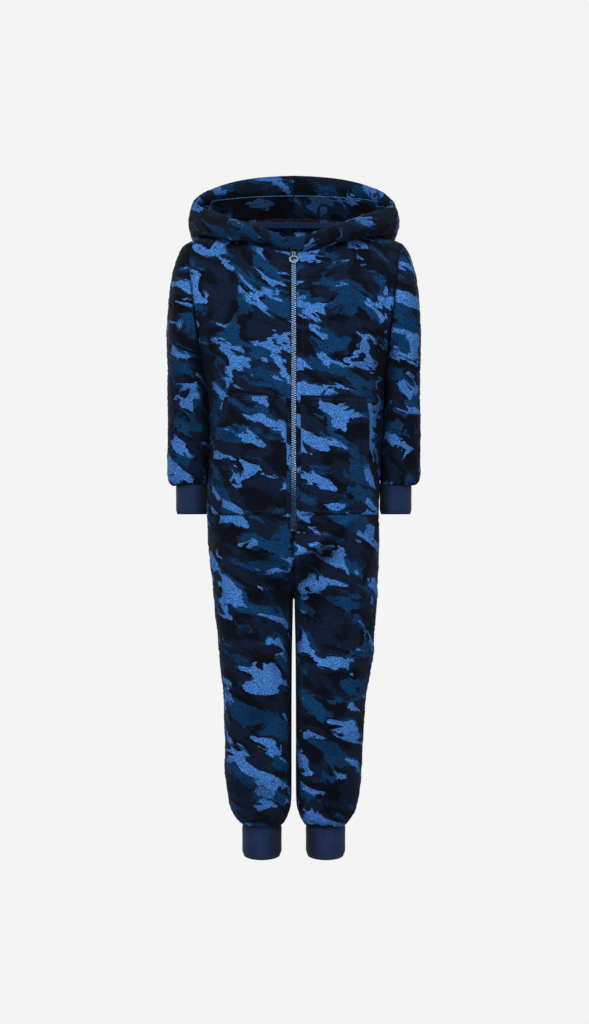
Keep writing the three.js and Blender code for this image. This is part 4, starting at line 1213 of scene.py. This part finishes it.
def make_sleeve(side):
    name = f"sleeve_{side_word(side)}"
    points = refine(sleeve_grid(side), GRID_STEP)
    across, down = sleeve_lengths(points, side)
    edges = edge_distance(points)
    seed = SEEDS["sleeve"] + side
    relief = PILE_PROUD + pile_relief(across, down, seed)
    creases = fold_height(SLEEVE_CREASES, points[:, :, 0], points[:, :, 2])
    relief += creases + seam_roll(edges["top"]) + seam_roll(edges["bottom"], 1.2, 2.0)
    relief += gather(points, edges["bottom"], 1.4, seed + 5, 15.0, 6.5)
    # Inside the arm the cloth is pressed against the body
    inner_share = np.abs(np.linspace(-1, 1, points.shape[1]))[None, :]
    inside = smooth_step(inner_share, 0.74, 0.94) + 0 * relief
    clear = np.interp(-points[:, :, 2], *SLEEVE_CLEAR)
    relief = relief * (1 - inside) + (clear + pile_relief(across, down, seed) * 0.15) * inside
    folds = fold_height(SLEEVE_FOLDS, points[:, :, 0], points[:, :, 2])
    # Painted shade in the creases and folds, and on the inner side of the sleeve towards the body
    painted_trough_shade = np.clip(-creases / 5, 0, 0.7) + np.clip(-folds / 12, 0, 0.3)
    shade = 0.8 * smooth_step(inner_share, 0.62, 0.86) + 0 * relief
    painted_shading = np.max([seam_shade([edges["top"], edges["bottom"]]), painted_trough_shade, shade], axis=0)
    cut = printed(name, across, down, side)
    piece = cloth_wall(name, points, relief, FLEECE, side, "fleece", cut, painted_shading)
    sheet(points, [f"front_{side_word(side)}", f"back_{side_word(side)}"])


def make_hood(side):
    """The outer hood and its lining, both on the same grid."""
    grid = refine(hood_grid(side), HOOD_STEP)
    facing = normals(grid, -side)
    for layer in HOOD_LAYERS:
        name = f"{layer['part']}_{side_word(side)}"
        outward = side * layer["turned"]
        points = grid + facing * layer["depth"]
        edges = edge_distance(points)
        from_rim = edges["end"]
        from_hem = from_rim - HOOD_HEM["width"]
        across = np.repeat(knots(points[:, -1])[:, None], points.shape[1], axis=1)
        relief = pile_relief(across, from_rim, SEEDS[layer["part"]] + side) * 0.9 + layer["proud"]
        relief += seam_roll(edges["start"], 1.6) + seam_roll(edges["bottom"], 1.8)
        relief += seam_roll(from_rim, layer["rim_roll"], 2.4)
        relief -= layer["groove"] * bell(from_hem, 1.8)
        relief += layer["puff"] * bell(from_rim - HOOD_HEM["width"] / 2, 7.5)
        # Painted shade along the hem groove and the seams; the whole hood is also made evenly darker by 0.4
        hem = seam_shade([from_hem], 2.6, layer["hem_shade"])
        sewn = seam_shade([edges["start"], edges["bottom"]], 2.2, 0.6)
        painted_shading = np.max([hem, sewn, 0.4 + 0 * hem], axis=0)
        if layer["part"] == "hood_lining":
            # The hood's pouch is in the dark, and the edge of the hem catches the light: both are painted, as
            # painted shade and a painted highlight
            lit_edge = bell(from_hem - 3.5, 1.6)
            painted_shading = np.maximum(painted_shading - 0.4, 0.8 * smooth_step(from_rim, 19, 26)) - 0.9 * lit_edge
        cut = printed(name, across, from_rim, -outward)
        piece = cloth_wall(name, points, relief, layer["thick"], outward, layer["slot"], cut, painted_shading)
        sheet(points, [f"{layer['rests_on']}_{side_word(side)}"])


def make_neck_tape():
    halves = []
    first = round(CELLS["hood_across"] * NECK_TAPE["from_share"])
    for side in SIDES:
        grid = hood_grid(side)
        strip = (grid - normals(grid, -side) * NECK_TAPE["depth"])[first:, :2]
        low, high = strip[:, 0], strip[:, 1]
        width = np.minimum(NECK_TAPE["width"] / np.linalg.norm(high - low, axis=1), 1)[:, None]
        halves.append(np.stack([low, low + (high - low) * width], axis=1))
    points = refine(np.concatenate([halves[0], halves[1][::-1][1:]]), NECK_TAPE_STEP)
    relief = np.full(points.shape[:2], NECK_TAPE["proud"])
    for distance in edge_distance(points).values():
        relief += seam_roll(distance, 0.5, 1.0)
    thick = NECK_TAPE["thick"]
    piece = cloth_wall("neck_tape", points, relief, thick, -1, "teal_jersey", finish="teal_jersey_painted_shade")
    sheet(points, ["hood_lining_right", "hood_lining_left"])


def make_pocket(side):
    name = f"pocket_{side_word(side)}"
    coarse = pocket_grid(side)
    z = coarse[:, :1, 2]
    opened = np.clip((POCKET["top_z"] - z) / (POCKET["top_z"] - POCKET["sewn_below"]), 0, 1)
    share = np.linspace(0, 1, coarse.shape[1])[None, :]
    lift = POCKET["lift"] + POCKET["mouth_lift"] * np.sin(np.pi * opened) ** 0.8 * share ** 1.3
    points = refine(coarse + normals(coarse, -side) * (lift + SOLID_FLEECE)[:, :, None], POCKET_STEP)
    across, down = cut_lengths(points)
    edges = edge_distance(points)
    from_hem = edges["end"] - POCKET["hem"]
    sewn = points[:, :, 2] < POCKET["sewn_below"] + 10
    relief = 0.4 + pile_relief(across, down, SEEDS["pocket"] + side) * 0.9
    relief += seam_roll(edges["top"], 1.8) + seam_roll(edges["bottom"], 1.8) + seam_roll(edges["start"], 1.8)
    relief += seam_roll(edges["end"], 1.8) * np.where(sewn, 1.0, 0.7)
    relief += -1.0 * bell(from_hem, 1.4) * np.where(sewn, 0, 1) - 0.6 * bell(edges["bottom"] - 7, 1.3)
    # Painted shade along the hem and the top and bottom seams of the pocket
    pocket_hem_painted_shade = seam_shade([from_hem], 1.5, 0.6) * np.where(sewn, 0, 1)
    painted_shading = np.maximum(seam_shade([edges["top"], edges["bottom"]], 2.0, 0.8), pocket_hem_painted_shade)
    cut = printed(name, across, down, side)
    piece = cloth_wall(name, points, relief, FLEECE, -side, "fleece", cut, painted_shading)
    sheet(points, [f"front_{side_word(side)}"])


def make_cuff(part, cuff, side):
    """A rib-knit tube, seamed inside, with real ribs and a soft folded hem."""
    points_a_rib = 6
    rows = 17
    turns = np.linspace(math.pi, 3 * math.pi, cuff["ribs"] * points_a_rib + 1)
    height = cuff["top_z"] - cuff["bottom_z"]
    points = np.zeros((rows, len(turns), 3))
    for row, share in enumerate(np.linspace(0, 1, rows)):
        down = share * height
        narrow = 1 - 0.10 * bell(height - down, 3.5)
        tucked = cuff["tuck"] + (1 - cuff["tuck"]) * min(down / 9, 1)
        waist = 1 - 0.02 * math.sin(math.pi * min(max((down - 6) / (height - 6), 0), 1))
        half = cuff["half_width"] * narrow * tucked * waist
        depth = cuff["half_depth"] * narrow * tucked * waist
        drop = cuff["dip"] * share * (1 - np.sin(turns)) / 2
        points[row, :, 0] = side * (cuff["x"] + half * np.cos(turns))
        points[row, :, 1] = cuff["y"] + depth * np.sin(turns)
        points[row, :, 2] = cuff["top_z"] - down - drop
    across, down = cut_lengths(points)
    ribs = np.cos(turns * cuff["ribs"])[None, :]
    fade = np.clip((height - down) / 2.0, 0, 1)
    relief = -RIB_HIGH + RIB_HIGH * ribs * fade
    relief += lattice_noise(across / 14, down / 11, SEEDS["cuff"] + side) * 0.35 - 0.8 * (1 - fade)
    printed_across = np.repeat((turns * cuff["ribs"] / (2 * math.pi) * RIB_PITCH)[None, :], rows, axis=0)
    cut = np.stack([printed_across, -down], axis=2) * MM
    inwards = (cuff["x"] - side * points[:, :, 0]) / cuff["half_width"]
    # Painted shade near the seam at the top and on the inner side of the cuff, towards the body
    painted_shading = np.maximum(0.8 * bell(down, 9), 0.9 * smooth_step(inwards, 0.1, 0.9))
    name = f"{part}_cuff_{side_word(side)}"
    piece = cloth_wall(name, points, relief, RIB_KNIT, side, "rib_knit", cut, painted_shading)
    sheet(points, [f"{cloth}_{side_word(side)}" for cloth in cuff["sewn_to"]])


def make_zip_tapes():
    heights = np.linspace(ZIP_TOP_Z - 4.5, ZIP_BOTTOM_Z - 2, 161)
    depth = CHAIN_SUNK + CHAIN_THICK + SOLID_SEAM_GAP + TAPE_BEHIND_CHAIN
    behind = np.array([front_at(z) for z in heights]) + depth
    for side in SIDES:
        x, y = np.meshgrid(np.linspace(0.15, TAPE_WIDTH, 9) * side, behind)
        points = np.stack([x, y, heights[:, None] + 0 * x], axis=2)
        across = lengths_along(points, 1)
        relief = 0.55 * bell(across, 1.6)
        # Painted shade on the tape behind the teeth
        painted_shade_behind_teeth = 1 - smooth_step(across, 3.4, 4.4)
        name = f"zip_tape_{side_word(side)}"
        piece = cloth_wall(name, points, relief, TAPE_THICK, -side, "zip_tape", painted_shading=painted_shade_behind_teeth)
        sheet(points, [f"front_{side_word(side)}"])


def make_teeth():
    """Two rows of slanting teeth that mesh along the middle."""
    teeth = Tubes()
    turns = 2 * math.pi * np.arange(8) / 8
    top = ZIP_TOP_Z - TEETH_BELOW_TOP
    count = int((top - ZIP_BOTTOM_Z - 2) / TOOTH_PITCH)
    for side in SIDES:
        for tooth in range(count):
            z = top - (tooth + (0.5 if side > 0 else 0)) * TOOTH_PITCH
            y = front_at(z) + CHAIN_SUNK + TEETH_SUNK
            rings = []
            for x, half, rise in TOOTH_STATIONS:
                deep = signed_power(np.cos(turns), 0.7) * (1.15 if half > 0.5 else 0.7)
                high = rise * 0.8 + signed_power(np.sin(turns), 0.7) * half
                rings.append(np.stack([side * x + 0 * turns, y + deep, z + high], axis=1))
            teeth.add(rings)
    points = np.array(teeth.points)
    # Painted shade darkens the teeth and turns them bluer towards the bottom of the zip
    painted_shade_tint = smooth_step(-points[:, 2], *ZIP_PAINTED_SHADE_FROM_TO) * 0.95
    cut = points[:, [0, 2]] * MM
    piece = make_mesh("zip_teeth", points, teeth.faces, FINISH["zip_metal"], cut, painted_shade_tint)
    dress(piece, "zip_chain")


def make_chin_guard():
    """A folded jersey tab over the top end of the zip, stitched round its edge."""
    (top_x, top_z), (bottom_x, bottom_z) = CHIN_GUARD["top"], CHIN_GUARD["bottom"]
    (right_top_x, right_top_z), (right_low_x, _) = CHIN_GUARD["right_top"], CHIN_GUARD["right_low"]
    v, u = np.meshgrid(np.linspace(0, 1, 25), np.linspace(0, 1, 21), indexing="ij")
    left_x = top_x + (bottom_x - top_x) * v
    right_x = right_top_x + (right_low_x - right_top_x) * v + CHIN_GUARD["bulge"] * np.sin(np.pi * v)
    x = left_x + (right_x - left_x) * u
    y = CHIN_GUARD["y"] - CHIN_GUARD["puff"] * np.sin(np.pi * u) * np.sin(np.pi * v)
    high_z = top_z + (right_top_z - top_z) * u
    points = np.stack([x, y, high_z + (bottom_z - high_z) * v], axis=2)
    nearest = np.minimum.reduce(list(edge_distance(points).values()))
    relief = 0.2 + seam_roll(nearest, 1.0, 0.9) - 0.35 * bell(nearest - CHIN_GUARD["stitched"], 0.6)
    piece = cloth_wall("chin_guard", points, relief, CHIN_GUARD["thick"], -1, "teal_jersey")
    sheet(points, ["front_left"])


def stitch_row(sewing, path, out, pitch=3.2, length=2.1, thick=0.32):
    """A row of thread stitches along a line of points, each lying on the cloth."""
    lengths = knots(path)
    turns = (np.arange(6) * math.pi / 3)[:, None]
    for start in np.arange(pitch / 2, lengths[-1] - length, pitch):
        places = [start, start + length / 2, start + length]
        low, middle, high = np.stack([np.interp(places, lengths, path[:, axis]) for axis in range(3)], axis=1)
        facing = np.array([np.interp(start, lengths, out[:, axis]) for axis in range(3)])
        along = (high - low) / max(np.linalg.norm(high - low), 1e-6)
        around = (np.cross(along, facing) * np.cos(turns) + facing * np.sin(turns)) * thick
        sewing.add([
            low - facing * 0.1 + around * 0.4, middle + facing * 0.35 + around,
            high - facing * 0.1 + around * 0.4,
        ])


def row_beside_zip(offset):
    """For each row of the left front beside the zip, the column at an offset from its edge."""
    outer = OUTER_FACE["front_left"]
    rows = [r for r in range(len(outer)) if ZIP_BOTTOM_Z + 2 < outer[r, 0, 2] < ZIP_TOP_Z - 4]
    across = lengths_along(outer, 1)
    return rows, [int(np.searchsorted(across[r], offset)) for r in rows]


def make_stitching():
    """The row beside the zip, and the rows along the tops and bottoms of the pockets."""
    sewing = Tubes()
    outer = OUTER_FACE["front_left"]
    beside_zip = row_beside_zip(STITCHED_EDGE)
    stitch_row(sewing, outer[beside_zip], normals(outer, -1)[beside_zip])
    for side in SIDES:
        outer = OUTER_FACE[f"pocket_{side_word(side)}"]
        facing = normals(outer, -side)
        for row in (len(outer) - 4, 3):
            stitch_row(sewing, outer[row, 3:-3], facing[row, 3:-3])
    sewing.sewn("seam_stitches", "thread", "teal_jersey")


def make_hem_stitches():
    """The line of stitches that holds the hem round the face of the hood, seen inside it; their lighter
    colour is partly a painted highlight where the edge of the hem catches the light.
    """
    sewing = Tubes()
    how = {"pitch": HOOD_HEM["pitch"], "length": HOOD_HEM["pitch"], "thick": HOOD_HEM["thread"]}
    for side in SIDES:
        outer = OUTER_FACE[f"hood_lining_{side_word(side)}"]
        from_rim = edge_distance(outer)["end"]
        line = np.arange(len(outer)), np.argmin(np.abs(from_rim - HOOD_HEM["stitches"]), axis=1)
        stitch_row(sewing, outer[line], normals(outer, side)[line], **how)
    sewing.sewn("hem_stitches", "hem_thread_and_highlight", "hood_lining")


def make_zip_end():
    """Short dense rows of thread under the last teeth and beside them."""
    sewing = Tubes()
    turns = np.arange(8) * math.pi / 4
    inset = np.array([0.4, 0, 0])
    for from_x, to_x, z, high, proud in ZIP_END_BARS:
        side = 1 if from_x >= 0 else -1
        ends = []
        for x in (from_x, to_x):
            angle = angle_at(side, z, max(abs(x), ZIP_EDGE_X))
            ends.append(np.array([x, body_point(side, -1, z, angle)[1] - proud, z]))
        ring = np.stack([0 * turns, np.cos(turns) * 0.7, np.sin(turns) * high / 2], axis=1)
        small = ring * 0.6
        sewing.add([ends[0] + small, ends[0] + inset + ring, ends[1] - inset + ring, ends[1] + small])
    sewing.sewn("bar_tacks", "tack", "teal_jersey")


# The slider and its bridge are near-black: painted shadow of the chin guard
METAL_PARTS = [
    ("zip_slider", 0.5, "slider_metal_painted_shadow"), ("slider_bridge", 0.3, "slider_metal_painted_shadow"),
    ("zip_pull", 0.35, "pull_metal"),
]


def finish_metal():
    """Soft edges and a metal finish for the slider, its bridge and the pull."""
    for node, edge, finish in METAL_PARTS:
        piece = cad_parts[node]
        piece.data.materials.clear()
        piece.data.materials.append(FINISH[finish])
        rounding = piece.modifiers.new("soft_edges", "BEVEL")
        rounding.width = edge * MM
        rounding.segments = 2
        rounding.limit_method = "ANGLE"


for face in (-1, 1):
    for side in SIDES:
        make_panel(side, face)
for side in SIDES:
    make_sleeve(side)
    make_hood(side)
    make_pocket(side)
    make_cuff("wrist", WRIST_CUFF, side)
    make_cuff("ankle", ANKLE_CUFF, side)
make_neck_tape()
make_zip_tapes()
make_teeth()
make_chin_guard()
make_stitching()
make_hem_stitches()
make_zip_end()
finish_metal()


# Studio, in metres but for the floor

CAMERA_AWAY = 2.2
FRAME_HEIGHT = 1.362
FRAME_MIDDLE = (0.001, -0.362)
GROUND = colour("f4f4f4")
FLOOR_RADIUS = 6000
FLOOR_Z = -1150
LIGHTS_AIM_AT = (0, 0, -0.35)
# Name, place, size and power of each light
LIGHTS = [
    ("key", (-0.6, -2.4, 0.9), 1.0, 112.0), ("fill", (1.2, -2.5, 0.2), 1.1, 40.0),
    ("low", (0.0, -2.4, -0.9), 1.1, 18.0), ("top", (0.0, 0.2, 1.8), 1.0, 20.0),
    ("back", (0.6, 2.4, 0.8), 1.6, 90.0), ("back_fill", (-1.4, 2.0, 0.2), 1.4, 36.0),
]


def stand(name, data, place, turned):
    """Put a light or the camera in the scene."""
    holder = bpy.data.objects.new(name, data)
    holder.location = place
    holder.rotation_euler = turned
    bpy.context.scene.collection.objects.link(holder)
    return holder


def make_studio():
    world = bpy.data.worlds.new("studio")
    bpy.context.scene.world = world
    world.use_nodes = True
    world.node_tree.nodes["Background"].inputs["Color"].default_value = GROUND
    world.node_tree.nodes["Background"].inputs["Strength"].default_value = 1.0
    floor_looks = Looks("studio_floor", roughness=1.0, specular=0.0)
    floor_looks.shader.inputs["Emission Color"].default_value = GROUND
    floor_looks.shader.inputs["Emission Strength"].default_value = 1.0
    floor_looks.finish((0, 0, 0, 1))
    turns = np.linspace(0, 2 * math.pi, 65)[:-1]
    edge = [(FLOOR_RADIUS * math.cos(turn), FLOOR_RADIUS * math.sin(turn), FLOOR_Z) for turn in turns]
    floor = make_mesh("studio_floor", edge, [list(range(64))], floor_looks.material)
    for name, place, size, power in LIGHTS:
        lamp = bpy.data.lights.new(name, "AREA")
        lamp.size = size
        lamp.energy = power
        aim = Vector(LIGHTS_AIM_AT) - Vector(place)
        stand(name, lamp, place, aim.to_track_quat("-Z", "Y").to_euler())
    camera = bpy.data.cameras.new("camera")
    camera.sensor_width = 36
    camera.lens = camera.sensor_width / 2 / (FRAME_HEIGHT / 2 / CAMERA_AWAY)
    place = (FRAME_MIDDLE[0], -CAMERA_AWAY, FRAME_MIDDLE[1])
    bpy.context.scene.camera = stand("camera", camera, place, (math.pi / 2, 0, 0))
    bpy.context.scene.view_settings.view_transform = "Standard"


make_studio()
